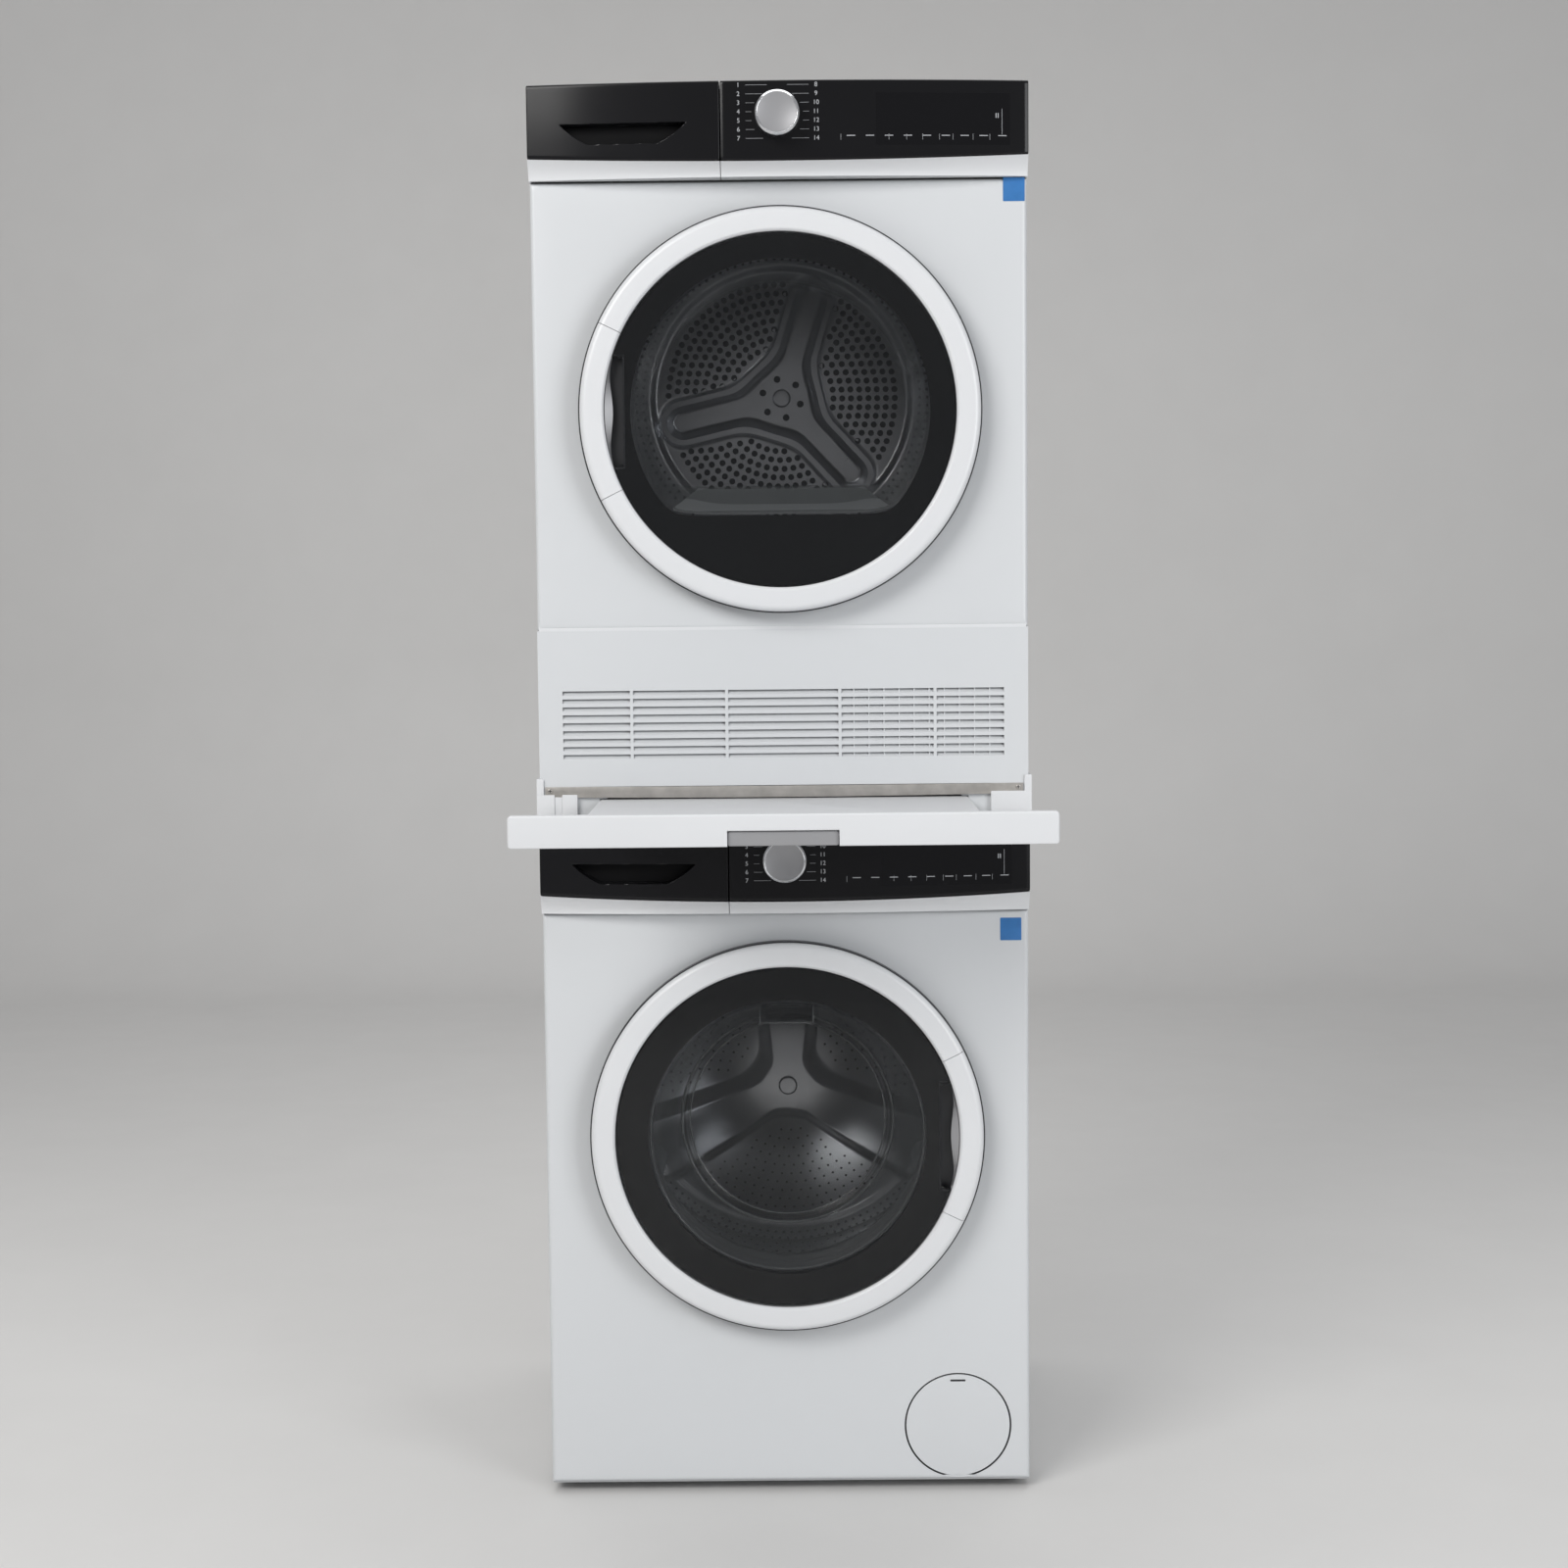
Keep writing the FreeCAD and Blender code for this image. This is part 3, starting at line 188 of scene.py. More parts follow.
class Finishes:
    """Every finish that the stack uses."""

    enamel = Finish("white_enamel", (0.60, 0.615, 0.63), 0.34, mottle=0.012, mottle_scale=3.0, relief_scale=420.0)
    enamel_rear = Finish("zinc_rear_sheet", (0.46, 0.47, 0.48), 0.42, 0.7, mottle=0.07, mottle_scale=14.0)
    moulding = Finish("light_moulding", (0.66, 0.67, 0.685), 0.3, mottle=0.01, relief_scale=1400.0)
    gloss_black = Finish("gloss_black_panel", (0.0065, 0.0065, 0.0075), 0.14, mottle=0.1, relief_depth=0.000004,
                         speculars=0.22)
    display = Finish("display_window", (0.003, 0.003, 0.004), 0.05, mottle=0.1, relief_depth=0.000002, speculars=0.3)
    # near-black matt: painted shade inside the drawer's pull
    recess_shade = Finish("painted_recess_shade", (0.003, 0.003, 0.0035), 0.6, mottle=0.1, speculars=0.1)
    print_grey = Finish("panel_print", (0.42, 0.43, 0.45), 0.5, mottle=0.02)
    silver = Finish("silver_dial", (0.30, 0.30, 0.31), 0.42, 0.25, mottle=0.02, relief_scale=1500.0)
    silver_rim = Finish("silver_dial_rim", (0.72, 0.73, 0.75), 0.18, 1.0, mottle=0.02)
    smoked = Finish("smoked_cover", (0.012, 0.013, 0.015), 0.04, mottle=0.1, relief_depth=0.000002, alpha=0.20,
                    rim_alpha=0.5, speculars=0.6)
    mask = Finish("black_door_print", (0.006, 0.0065, 0.0065), 0.10, mottle=0.1, relief_depth=0.000002, speculars=0.3)
    bowl = Finish("clear_bowl", (0.11, 0.12, 0.122), 0.04, mottle=0.02, relief_depth=0.000002, alpha=0.03,
                  rim_alpha=0.80, speculars=1.0)
    # lighter copy of the clear bowl: painted highlight for its rings, facet and floor
    bowl_highlight = Finish("bowl_painted_highlight", (0.34, 0.36, 0.37), 0.08, mottle=0.05, relief_depth=0.000002, alpha=0.45,
                      rim_alpha=0.9, speculars=1.0)
    door_liner = Finish("dark_door_liner", (0.018, 0.019, 0.022), 0.38, mottle=0.1)
    steel_drum = Finish("brushed_drum_steel", (0.60, 0.61, 0.63), 0.3, 1.0, mottle=0.04, grain=Grain.TURNED,
                        relief_scale=700.0)
    # near-black painted shade for holes, slots, gaps, dimples and screw recesses
    hollow_shade = Finish("painted_hollow_shade", (0.02, 0.02, 0.022), 0.7, mottle=0.1)
    lifter = Finish("lifter_plastic", (0.40, 0.43, 0.46), 0.4, mottle=0.03)
    gasket = Finish("grey_rubber", (0.16, 0.165, 0.175), 0.6, mottle=0.06, relief_depth=0.00008)
    rubber = Finish("black_rubber", (0.014, 0.014, 0.015), 0.72, mottle=0.12, relief_depth=0.0001)
    zinc = Finish("galvanised_steel", (0.44, 0.42, 0.395), 0.38, 0.8, mottle=0.12, mottle_scale=60.0,
                  grain=Grain.DRAWN)
    laminate = Finish("white_laminate", (0.64, 0.65, 0.665), 0.44, mottle=0.015, relief_scale=2200.0)
    housing = Finish("housing_plastic", (0.42, 0.42, 0.42), 0.5, mottle=0.04)
    cast = Finish("cast_aluminium", (0.42, 0.42, 0.43), 0.5, 0.9, mottle=0.08, mottle_scale=30.0,
                  relief_scale=260.0, relief_depth=0.0002)
    concrete = Finish("concrete", (0.30, 0.295, 0.28), 0.9, mottle=0.2, mottle_scale=40.0, relief_scale=300.0,
                      relief_depth=0.0006)
    sticker = Finish("blue_sticker", (0.03, 0.16, 0.42), 0.35, mottle=0.06, mottle_scale=90.0)


NODE_FINISHES = {
    "side_panels": Finishes.enamel, "front_panel": Finishes.enamel, "plinth_panel": Finishes.enamel,
    "back_panel": Finishes.enamel_rear, "base_trays": Finishes.enamel_rear, "top_covers": Finishes.enamel,
    "control_panel": Finishes.gloss_black, "drawer_front": Finishes.gloss_black,
    "fascia_trim": Finishes.moulding, "knob": Finishes.silver, "door_ring": Finishes.moulding,
    "door_grip": Finishes.moulding, "door_cover": Finishes.smoked, "door_bowl": Finishes.bowl,
    "door_frame": Finishes.door_liner, "door_hinges": Finishes.zinc, "drum": Finishes.steel_drum,
    "drum_lifters": Finishes.lifter, "drum_pulley": Finishes.cast, "motor_pulley": Finishes.cast,
    "dryer_rotor": Finishes.housing, "washer_tub": Finishes.housing, "door_gasket": Finishes.gasket,
    "counterweights": Finishes.concrete, "suspension": Finishes.rubber, "motor": Finishes.cast,
    "drive_belts": Finishes.rubber, "drain_pump": Finishes.housing, "pump_filter_cap": Finishes.rubber,
    "pump_hatch": Finishes.moulding, "inlet_valve": Finishes.housing, "washer_feet": Finishes.rubber,
    "stacking_frame": Finishes.enamel, "frame_end_caps": Finishes.moulding,
    "frame_cross_strip": Finishes.zinc, "frame_screws": Finishes.zinc, "shelf_board": Finishes.laminate,
    "shelf_front": Finishes.moulding, "shelf_handle": Finishes.moulding,
    "dispenser_tray": Finishes.moulding, "drawer_housings": Finishes.housing, "water_tank": Finishes.housing,
    "dryer_bulkheads": Finishes.housing, "dryer_condenser": Finishes.cast, "lint_filter": Finishes.lifter,
}


def finish_of(node: str) -> Finish:
    """The finish of a carried-over node: the longest key that its name ends with.

    Args:
        node: The node's name.

    Returns:
        Its finish.
    """
    keys = [key for key in NODE_FINISHES if node.endswith(key)]
    return NODE_FINISHES[max(keys, key=len)]


# ---------------------------------------------------------------- surfaces


def arc(start: float, stop: float, count: int) -> np.ndarray:
    """Unit circle points from one angle in degrees to another, as (count, 2)."""
    angles = np.radians(np.linspace(start, stop, count))
    return np.stack([np.cos(angles), np.sin(angles)], axis=1)


def rounded(corners: np.ndarray, radii: np.ndarray, steps: int = 5) -> np.ndarray:
    """Round the corners of a closed outline with quadratic curves.

    Each corner becomes the curve (1-t)^2 A + 2 t (1-t) C + t^2 B, where C is the corner and A and B lie
    at its radius along its two sides.

    Args:
        corners: The outline's corners, (n, 2).
        radii: How far from each corner its rounding starts.
        steps: Points in each rounding.

    Returns:
        The rounded outline, (n * steps, 2).
    """
    corners = np.asarray(corners, dtype=float)
    before = np.roll(corners, 1, axis=0) - corners
    after = np.roll(corners, -1, axis=0) - corners
    radii = np.asarray(radii, dtype=float)[:, None]
    start = corners + before / np.linalg.norm(before, axis=1, keepdims=True) * radii
    stop = corners + after / np.linalg.norm(after, axis=1, keepdims=True) * radii
    t = np.linspace(0, 1, steps)[None, :, None]
    curve = (1 - t) ** 2 * start[:, None] + 2 * t * (1 - t) * corners[:, None] + t**2 * stop[:, None]
    return curve.reshape(-1, 2)


def grid_faces(rows: int, columns: int, close_rows: bool, close_columns: bool) -> np.ndarray:
    """Quads of a grid of points, which may close on itself either way."""
    i = np.arange(rows if close_rows else rows - 1)[:, None]
    j = np.arange(columns if close_columns else columns - 1)[None, :]
    i_next, j_next = (i + 1) % rows, (j + 1) % columns
    quads = np.stack([i * columns + j, i * columns + j_next, i_next * columns + j_next,
                      i_next * columns + j], axis=-1)
    return quads.reshape(-1, 4)


@dataclass
class Piece:
    """A mesh in the making: grids of points are added, then it becomes one object on one body."""

    name: str
    points: list[np.ndarray] = field(default_factory=list)
    faces: list[tuple[int, ...]] = field(default_factory=list)

    @property
    def count(self) -> int:
        """How many points there are so far."""
        return sum(len(block) for block in self.points)

    def surface(self, grid: np.ndarray, close_rows: bool = False, close_columns: bool = True,
                caps: bool = False) -> "Piece":
        """Add a surface.

        Args:
            grid: Its points, (rows, columns, 3).
            close_rows: Whether the last row joins the first.
            close_columns: Whether the last column joins the first.
            caps: Whether the first and last rows are filled with a face each.

        Returns:
            The piece, so that calls can follow each other.
        """
        rows, columns = grid.shape[:2]
        first = self.count
        self.points.append(grid.reshape(-1, 3))
        quads = grid_faces(rows, columns, close_rows, close_columns) + first
        self.faces += [tuple(quad) for quad in quads.tolist()]
        if caps:
            self.faces.append(tuple(range(first + columns - 1, first - 1, -1)))
            last = first + (rows - 1) * columns
            self.faces.append(tuple(range(last, last + columns)))
        return self

    def finish(self, body: str, finish: Finish, replaces: tuple[str, ...] = (), slot: str | None = None,
               crease: float = 35.0) -> bpy.types.Object:
        """Make the object, point its faces outwards and put it on its body.

        Args:
            body: The body that it rides on.
            finish: Its finish.
            replaces: The nodes that it stands for.
            slot: The material slot of the record it belongs to; not used.
            crease: Edges sharper than this, in degrees, stay sharp in shading.

        Returns:
            The object.
        """
        mesh = bpy.data.meshes.new(self.name)
        mesh.from_pydata(np.concatenate(self.points).tolist(), [], self.faces)
        shape = bmesh.new()
        shape.from_mesh(mesh)
        bmesh.ops.remove_doubles(shape, verts=shape.verts, dist=1e-6)
        bmesh.ops.dissolve_degenerate(shape, edges=shape.edges, dist=1e-6)
        bmesh.ops.recalc_face_normals(shape, faces=shape.faces)
        shape.to_mesh(mesh)
        shape.free()
        mesh.shade_smooth()
        mesh.set_sharp_from_angle(angle=math.radians(crease))
        mesh.materials.append(finish.material())
        made = bpy.data.objects.new(self.name, mesh)
        bpy.context.scene.collection.objects.link(made)
        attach(made, body)
        if replaces:
            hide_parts(*replaces)
        LOG.info("%s: %d faces on %s", self.name, len(mesh.polygons), body)
        return made


def turned(profile: np.ndarray, centre: tuple[float, float], segments: int = 192,
           sweep: tuple[float, float] | None = None) -> np.ndarray:
    """A profile carried round a line along Y.

    A profile point (r, y) at the angle a goes to (cx + r cos a, y, cz + r sin a).

    Args:
        profile: Pairs of radius and Y, (n, 2).
        centre: The line's X and Z.
        segments: Steps round.
        sweep: First and last angle in degrees, or None for the whole way.

    Returns:
        The grid, (segments, n, 3).
    """
    if sweep is None:
        angles = np.linspace(0, 2 * math.pi, segments, endpoint=False)
    else:
        angles = np.radians(np.linspace(sweep[0], sweep[1], segments))
    radius, along = profile[:, 0], profile[:, 1]
    x = centre[0] + np.cos(angles)[:, None] * radius[None]
    z = centre[1] + np.sin(angles)[:, None] * radius[None]
    return np.stack([x, np.broadcast_to(along, x.shape), z], axis=-1)


def slab(low: Vector, high: Vector, edge: float, corner: float = 0.0, axis: str = "y") -> np.ndarray:
    """A block with rounded edges, as rounded outlines stacked along an axis.

    The outline shrinks by e (1 - sin p) over each end while the end moves by e (1 - cos p).

    Args:
        low: Lowest corner.
        high: Highest corner.
        edge: Radius of the two ends' edges.
        corner: Radius of the outline's corners; the edge's if 0.
        axis: The axis that the outlines are stacked along.

    Returns:
        The grid, (rows, columns, 3).
    """
    order = {"x": (1, 2, 0), "y": (0, 2, 1), "z": (0, 1, 2)}[axis]
    a, b, n = order
    middle = np.array([(low[a] + high[a]) / 2, (low[b] + high[b]) / 2])
    half = np.array([(high[a] - low[a]) / 2, (high[b] - low[b]) / 2])
    corner = max(corner, edge * 1.01)
    turn = np.radians(np.linspace(0, 90, 5))
    inset = np.concatenate([edge * (1 - np.sin(turn)), edge * (1 - np.cos(turn))])
    along = np.concatenate([low[n] + edge * (1 - np.cos(turn)), high[n] - edge * (1 - np.sin(turn))])
    quarter = arc(0, 90, 7)
    rows = []
    for shrink, level in zip(inset, along):
        radius = corner - shrink
        core = half - corner
        parts = []
        for k, (sx, sy) in enumerate(((1, 1), (-1, 1), (-1, -1), (1, -1))):
            turned_arc = quarter if k % 2 == 0 else quarter[::-1]
            parts.append(np.array([sx, sy]) * (core + radius * turned_arc))
        outline = np.concatenate(parts) + middle
        row = np.empty((len(outline), 3))
        row[:, a], row[:, b], row[:, n] = outline[:, 0], outline[:, 1], level
        rows.append(row)
    return np.stack(rows)


# ---------------------------------------------------------------- one machine's outside


class HingeSide(Enum):
    """Which side a door hangs on, as seen from the front."""

    LEFT = -1
    RIGHT = 1


@dataclass
class Machine:
    """The outside of one machine: enamelled skin, bowed panel, drawer front, trim and dial.

    Lengths are in metres.
    """

    name: str
    hinge: HingeSide
    edge: float = 0.006
    panel_edge: float = 0.003
    smile: float = 0.0074
    trim_slope: float = 0.014
    seam: float = 0.0009

    def __post_init__(self) -> None:
        """Read the machine's places from the frame."""
        self.front_low, self.front_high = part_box(f"{self.name}_front_panel")
        self.side_low, self.side_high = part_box(f"{self.name}_side_panels")
        self.panel_low, self.panel_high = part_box(f"{self.name}_control_panel")
        self.drawer_low, self.drawer_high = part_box(f"{self.name}_drawer_front")
        self.trim_low, self.trim_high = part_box(f"{self.name}_fascia_trim")
        self.knob_low, self.knob_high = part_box(f"{self.name}_knob")
        ring_low, ring_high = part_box(f"{self.name}_door_ring")
        self.door_z = (ring_low.z + ring_high.z) / 2
        self.ring_radius = (ring_high.z - ring_low.z) / 2
        self.front = self.front_low.y
        self.half = self.side_high.x
        self.deepest = self.panel_low.y - self.front
        self.bow = 0.018

    def build(self) -> None:
        """Build everything that isn't the door."""
        self.front_skin()
        self.sides()
        self.lid()
        self.panel()
        self.drawer()
        self.trim()
        self.dial()
        self.legends()
        self.sticker()

    def front_skin(self) -> None:
        """The front sheet with its round holes, a rolled edge all round and a return flange behind.

        The sheet is one patch for each hole. In a patch, the point at the share s is
        h + s (p - h), where p is on the patch's border and h is on the hole in line with p.
        """
        low, high, roll, sheet = self.front_low, self.front_high, self.edge, 0.0015
        left, right, foot, head = low.x + roll, high.x - roll, low.z + roll, high.z - roll
        holes = [(Vector((0.0, 0.0, self.door_z)), DOOR_OPENING)]
        levels = [foot, head]
        if self.name == "washer":
            hatch_low, hatch_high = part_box("pump_hatch")
            holes.insert(0, ((hatch_low + hatch_high) / 2, (hatch_high.x - hatch_low.x) / 2 + 0.0011))
            levels.insert(1, 0.200)
        piece = Piece(f"{self.name}_front_skin")
        for (centre, radius), bottom, top in zip(holes, levels, levels[1:]):
            border = self.loop([(left, bottom), (right, bottom), (right, top), (left, top)])
            middle = np.array([centre.x, centre.z])
            ray = border - middle
            hole = middle + ray / np.linalg.norm(ray, axis=1, keepdims=True) * radius
            shares = (0.0, 0.04, 0.2, 0.5, 0.8, 1.0)
            face = [self.raised(hole + share * (border - hole), 0.0) for share in shares]
            rear = [self.raised(hole + share * (border - hole), sheet) for share in shares]
            piece.surface(np.stack(face[::-1] + rear))
        sides = [(left, foot), (right, foot), *[(right, z) for z in levels[1:-1]], (right, head), (left, head),
                 *[(left, z) for z in levels[1:-1][::-1]]]
        border = self.loop(sides)
        middle = np.array([(left + right) / 2, (foot + head) / 2])
        half = np.array([(right - left) / 2, (head - foot) / 2])
        rows = []
        for angle in np.radians(np.linspace(0, 90, 7)):
            grown = middle + (border - middle) * (half + roll * math.sin(angle)) / half
            rows.append(self.raised(grown, roll * (1 - math.cos(angle))))
        outer = middle + (border - middle) * (half + roll) / half
        flange = middle + (border - middle) * (half + roll - sheet) / half
        rows += [self.raised(outer, FLANGE_DEPTH), self.raised(flange, FLANGE_DEPTH), self.raised(flange, roll + 0.001),
                 self.raised(border, sheet)]
        piece.surface(np.stack(rows))
        piece.finish("cabinet", Finishes.enamel, (f"{self.name}_front_panel",))

    @staticmethod
    def loop(corners: list[tuple[float, float]], steps: int = 90) -> np.ndarray:
        """Points along a closed outline, the same along a side whichever way it is walked."""
        share = (np.arange(steps) / steps)[:, None]
        ends = np.asarray(corners, dtype=float)
        following = np.roll(ends, -1, axis=0)
        return np.concatenate([a * (1 - share) + b * share for a, b in zip(ends, following)])

    def raised(self, flat: np.ndarray, depth: float) -> np.ndarray:
        """Points of the front's plane, at a depth behind it."""
        return np.column_stack([flat[:, 0], np.full(len(flat), self.front + depth), flat[:, 1]])

    def sides(self) -> None:
        """Both side sheets, with rounded long edges, behind the front's rolled edge."""
        piece = Piece(f"{self.name}_side_skins")
        for sign in (-1, 1):
            inner, outer = sorted((sign * self.half, sign * (self.half - 0.0022)))
            low = Vector((inner, self.front + FLANGE_DEPTH + 0.0005, self.side_low.z))
            high = Vector((outer, self.side_high.y, self.side_high.z))
            piece.surface(slab(low, high, 0.0008, 0.001, "x"), caps=True)
            for back, foot, head in self.cheeks():
                low, high = Vector((inner, back, foot)), Vector((outer, self.front + FLANGE_DEPTH + 0.001, head))
                piece.surface(slab(low, high, 0.0004, 0.001, "x"), caps=True)
        piece.finish("cabinet", Finishes.enamel, (f"{self.name}_side_panels",))

    def cheeks(self) -> list[tuple[float, float, float]]:
        """Where a side sheet reaches forward past the front sheet: back of what it meets, foot and head."""
        spans = [(self.panel_high.y + 0.0004, self.front_high.z + 0.0004, self.side_high.z)]
        if self.front_low.z > self.side_low.z + 0.05:
            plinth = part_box(f"{self.name}_plinth_panel")[1]
            spans.append((plinth.y + 0.0004, self.side_low.z, self.front_low.z - 0.0004))
        return [span for span in spans if span[0] < self.front + 0.015]

    def lid(self) -> None:
        """The lid over the sides, with a soft edge all round."""
        top = self.panel_high.z
        low = Vector((-self.half, self.front + 0.002, top - 0.0045))
        high = Vector((self.half, self.side_high.y, top))
        Piece(f"{self.name}_lid").surface(slab(low, high, 0.002, 0.005, "z"), caps=True).finish(
            "cabinet", Finishes.enamel, ("top_covers",))

    def panel_profile(self, low: np.ndarray, high: float) -> tuple[np.ndarray, np.ndarray]:
        """The panel's section: from its back at the bottom, round the front, to its back at the top.

        Args:
            low: The lower edge's height at each X.
            high: The upper edge's height.

        Returns:
            How far the edges' rounding sets each point back from the face (not a number at the flat
            back), and its height, each (profile points, 1 or len(low)).
        """
        turn = np.radians(np.linspace(0, 90, EDGE_STEPS))[:, None]
        soft = self.panel_edge
        share = np.linspace(0.02, 0.98, FACE_STEPS)[:, None]
        back = np.full((1, 1), np.nan)
        forward = np.concatenate([back, -soft * (1 - np.sin(turn)), np.zeros((FACE_STEPS, 1)),
                                  -soft * (1 - np.cos(turn)), back])
        height = np.concatenate([low[None], low + soft * (1 - np.cos(turn)),
                                 (low + soft) * (1 - share) + (high - soft) * share,
                                 high - soft * (1 - np.sin(turn)) + 0.0 * low, np.full((1, len(low)), high)])
        return forward, height

    def bowed_skin(self, left: float, right: float, columns: int) -> np.ndarray:
        """A stretch of the bowed panel as a closed loop of profiles from left to right.

        Each profile point is (x, front - bulge(x) - rounding, z), and the loop closes at the flat back.

        Args:
            left: First X.
            right: Last X.
            columns: Profiles across.

        Returns:
            The grid, (columns, profile points, 3).
        """
        ease = 0.0012
        x = np.concatenate([[left, left + ease * 0.3], np.linspace(left + ease, right - ease, columns - 4),
                            [right - ease * 0.3, right]])
        shrink = np.zeros(columns)
        shrink[[0, -1]], shrink[[1, -2]] = ease, ease * 0.3
        low = self.panel_low.z + self.smile * ((x / self.half) ** 2 - 0.5)
        forward, height = self.panel_profile(low + shrink, self.panel_high.z)
        y = self.front - (self.deepest_at(x) + forward - shrink)
        y = np.where(np.isnan(y), self.front, y)
        height = np.where(height > self.panel_high.z - 0.0015, height - shrink[None], height)
        grid = np.stack([np.broadcast_to(x, height.shape), y, height], axis=-1)
        return grid.transpose(1, 0, 2)

    def deepest_at(self, x: np.ndarray) -> np.ndarray:
        """How far the panel's face stands in front of the cabinet at X."""
        return -self.deepest - self.bow * (x / self.half) ** 2

    def panel(self) -> None:
        """The dark panel from the drawer's seam to the right side, and its display window."""
        grid = self.bowed_skin(self.panel_low.x, self.panel_high.x, 90)
        Piece(f"{self.name}_panel_skin").surface(grid, caps=True).finish(
            "cabinet", Finishes.gloss_black, (f"{self.name}_control_panel",))
        x = np.linspace(0.117, 0.276, 60)
        z = np.linspace(self.panel_high.z - 0.076, self.panel_high.z - 0.016, 12)
        across, up = np.meshgrid(x, z)
        face = np.stack([across, self.front - self.deepest_at(across) - 0.0002, up], axis=-1)
        piece = Piece(f"{self.name}_display")
        piece.surface(face, close_columns=False)
        rim = self.outline_ring(face)
        piece.surface(np.stack([rim, rim + np.array([0, 0.0006, 0])]))
        piece.finish("cabinet", Finishes.display, slot=f"{self.name}_control_panel")

    @staticmethod
    def outline_ring(grid: np.ndarray) -> np.ndarray:
        """The border of a grid, in order, (n, 3)."""
        return np.concatenate([grid[0, :-1], grid[:-1, -1], grid[-1, :0:-1], grid[:0:-1, 0]])

    def drawer(self) -> None:
        """The drawer's front: the same bow, with a half-moon pull pressed into it.

        The pull's depth at a point follows d, the greatest of its distances past the top line, past the
        bottom line and past the arc: the surface eases from level at d = 0.6 mm to full depth at -1 mm.
        """
        left, right = self.drawer_low.x, self.drawer_high.x
        profile = self.bowed_skin(left, right, 300).transpose(1, 0, 2)
        share = np.linspace(0, 1, 130)[:, None, None]
        face = profile[FACE_START][None] * (1 - share) + profile[FACE_END - 1][None] * share
        depth = 0.0165 * self.smooth((0.0006 - self.past_pull(face[..., 0], face[..., 2])) / 0.0016)
        face[..., 1] += depth
        whole = np.concatenate([profile[:FACE_START], face, profile[FACE_END:]])
        Piece(f"{self.name}_drawer_skin").surface(whole.transpose(1, 0, 2), caps=True).finish(
            f"{self.name}_drawer", Finishes.gloss_black, (f"{self.name}_drawer_front",), crease=50)
        self.pull_shade_lining(left, right)

    @staticmethod
    def smooth(share: np.ndarray) -> np.ndarray:
        """The ease 3 s^2 - 2 s^3, level at both ends."""
        share = np.clip(share, 0, 1)
        return share * share * (3 - 2 * share)

    def past_pull(self, x: np.ndarray, z: np.ndarray) -> np.ndarray:
        """How far a point of the drawer's front lies outside the pull's half-moon."""
        middle = (self.drawer_low.x + self.drawer_high.x) / 2
        top, bottom = self.panel_high.z - 0.048, self.panel_high.z - 0.071
        past_arc = np.hypot(x - middle, z - top - 0.0714) - 0.1028
        return np.maximum(np.maximum(z - top, bottom - z), past_arc)

    def pull_shade_lining(self, left: float, right: float) -> None:
        """The pull's floor, painted near-black as the shade inside the recess: columns of a closed loop, each from the
        half-moon's arc up to its top line.
        """
        middle = (left + right) / 2
        top, bottom = self.panel_high.z - 0.0492, self.panel_high.z - 0.0698
        x = np.linspace(middle - 0.072, middle + 0.072, 90)
        arc_z = self.panel_high.z - 0.048 + 0.0714 - np.sqrt(0.1018**2 - (x - middle) ** 2)
        foot = np.minimum(np.maximum(arc_z, bottom), top - 0.0004)
        y = self.front - self.deepest_at(x) + 0.0158
        loops = [np.stack([x, y + back, level], axis=-1) for back, level in
                 ((0.0, foot), (0.0, np.full(90, top)), (0.0006, np.full(90, top)), (0.0006, foot))]
        # near-black floor: painted shade inside the pull
        Piece(f"{self.name}_pull_shade_lining").surface(np.stack(loops).transpose(1, 0, 2), caps=True).finish(
            f"{self.name}_drawer", Finishes.recess_shade, slot=f"{self.name}_drawer_front")

    def trim(self) -> None:
        """The light strip, in two lengths: it follows the dark panel's smile above and slopes back below."""
        piece = Piece(f"{self.name}_trim_strip")
        seam = self.drawer_high.x
        for left, right in ((-self.half, seam), (seam + self.seam, self.half)):
            x = np.linspace(left, right, 80)
            top = self.panel_low.z + self.smile * ((x / self.half) ** 2 - 0.5) - 0.0004
            bottom = np.full(len(x), self.trim_low.z)
            share = np.linspace(0, 1, 14)
            y = (self.front - self.deepest_at(x))[None] + self.trim_slope * (1 - share[:, None] ** 1.6) + 0.0003
            z = bottom[None] + (top - bottom)[None] * share[:, None]
            wall = np.full(len(x), self.front)
            front = np.stack([np.broadcast_to(x, y.shape), y, z], axis=-1)
            loop = np.concatenate([np.stack([x, wall, bottom], axis=-1)[None], front,
                                   np.stack([x, wall, top], axis=-1)[None]])
            piece.surface(loop.transpose(1, 0, 2), caps=True)
        piece.finish("cabinet", Finishes.moulding, (f"{self.name}_fascia_trim",))

    def dial(self) -> None:
        """The programme dial: a satin face with a bright bevel."""
        centre = (0.0, (self.knob_low.z + self.knob_high.z) / 2)
        radius = (self.knob_high.z - self.knob_low.z) / 2
        face, back = self.knob_low.y, self.front - self.deepest_at(np.array([0.0]))[0] - 0.0006
        skirt = np.array([[0.0, face + 0.0022], [radius - 0.0052, face + 0.0012], [radius - 0.0034, face + 0.0004],
                          [radius - 0.0026, face + 0.0022], [radius - 0.0028, back], [0.0, back]])
        Piece(f"{self.name}_dial").surface(turned(skirt, centre, 128), close_rows=True, close_columns=False).finish(
            f"{self.name}_dial", Finishes.silver, (f"{self.name}_knob",))
        rim = rounded([(radius - 0.0034, face + 0.0006), (radius - 0.0026, face), (radius, face + 0.0028),
                       (radius, back), (radius - 0.0027, back)], [0.0002, 0.0003, 0.001, 0.0008, 0.0005])
        Piece(f"{self.name}_dial_rim").surface(turned(rim, centre, 128), close_rows=True).finish(
            f"{self.name}_dial", Finishes.silver_rim, slot=f"{self.name}_knob")

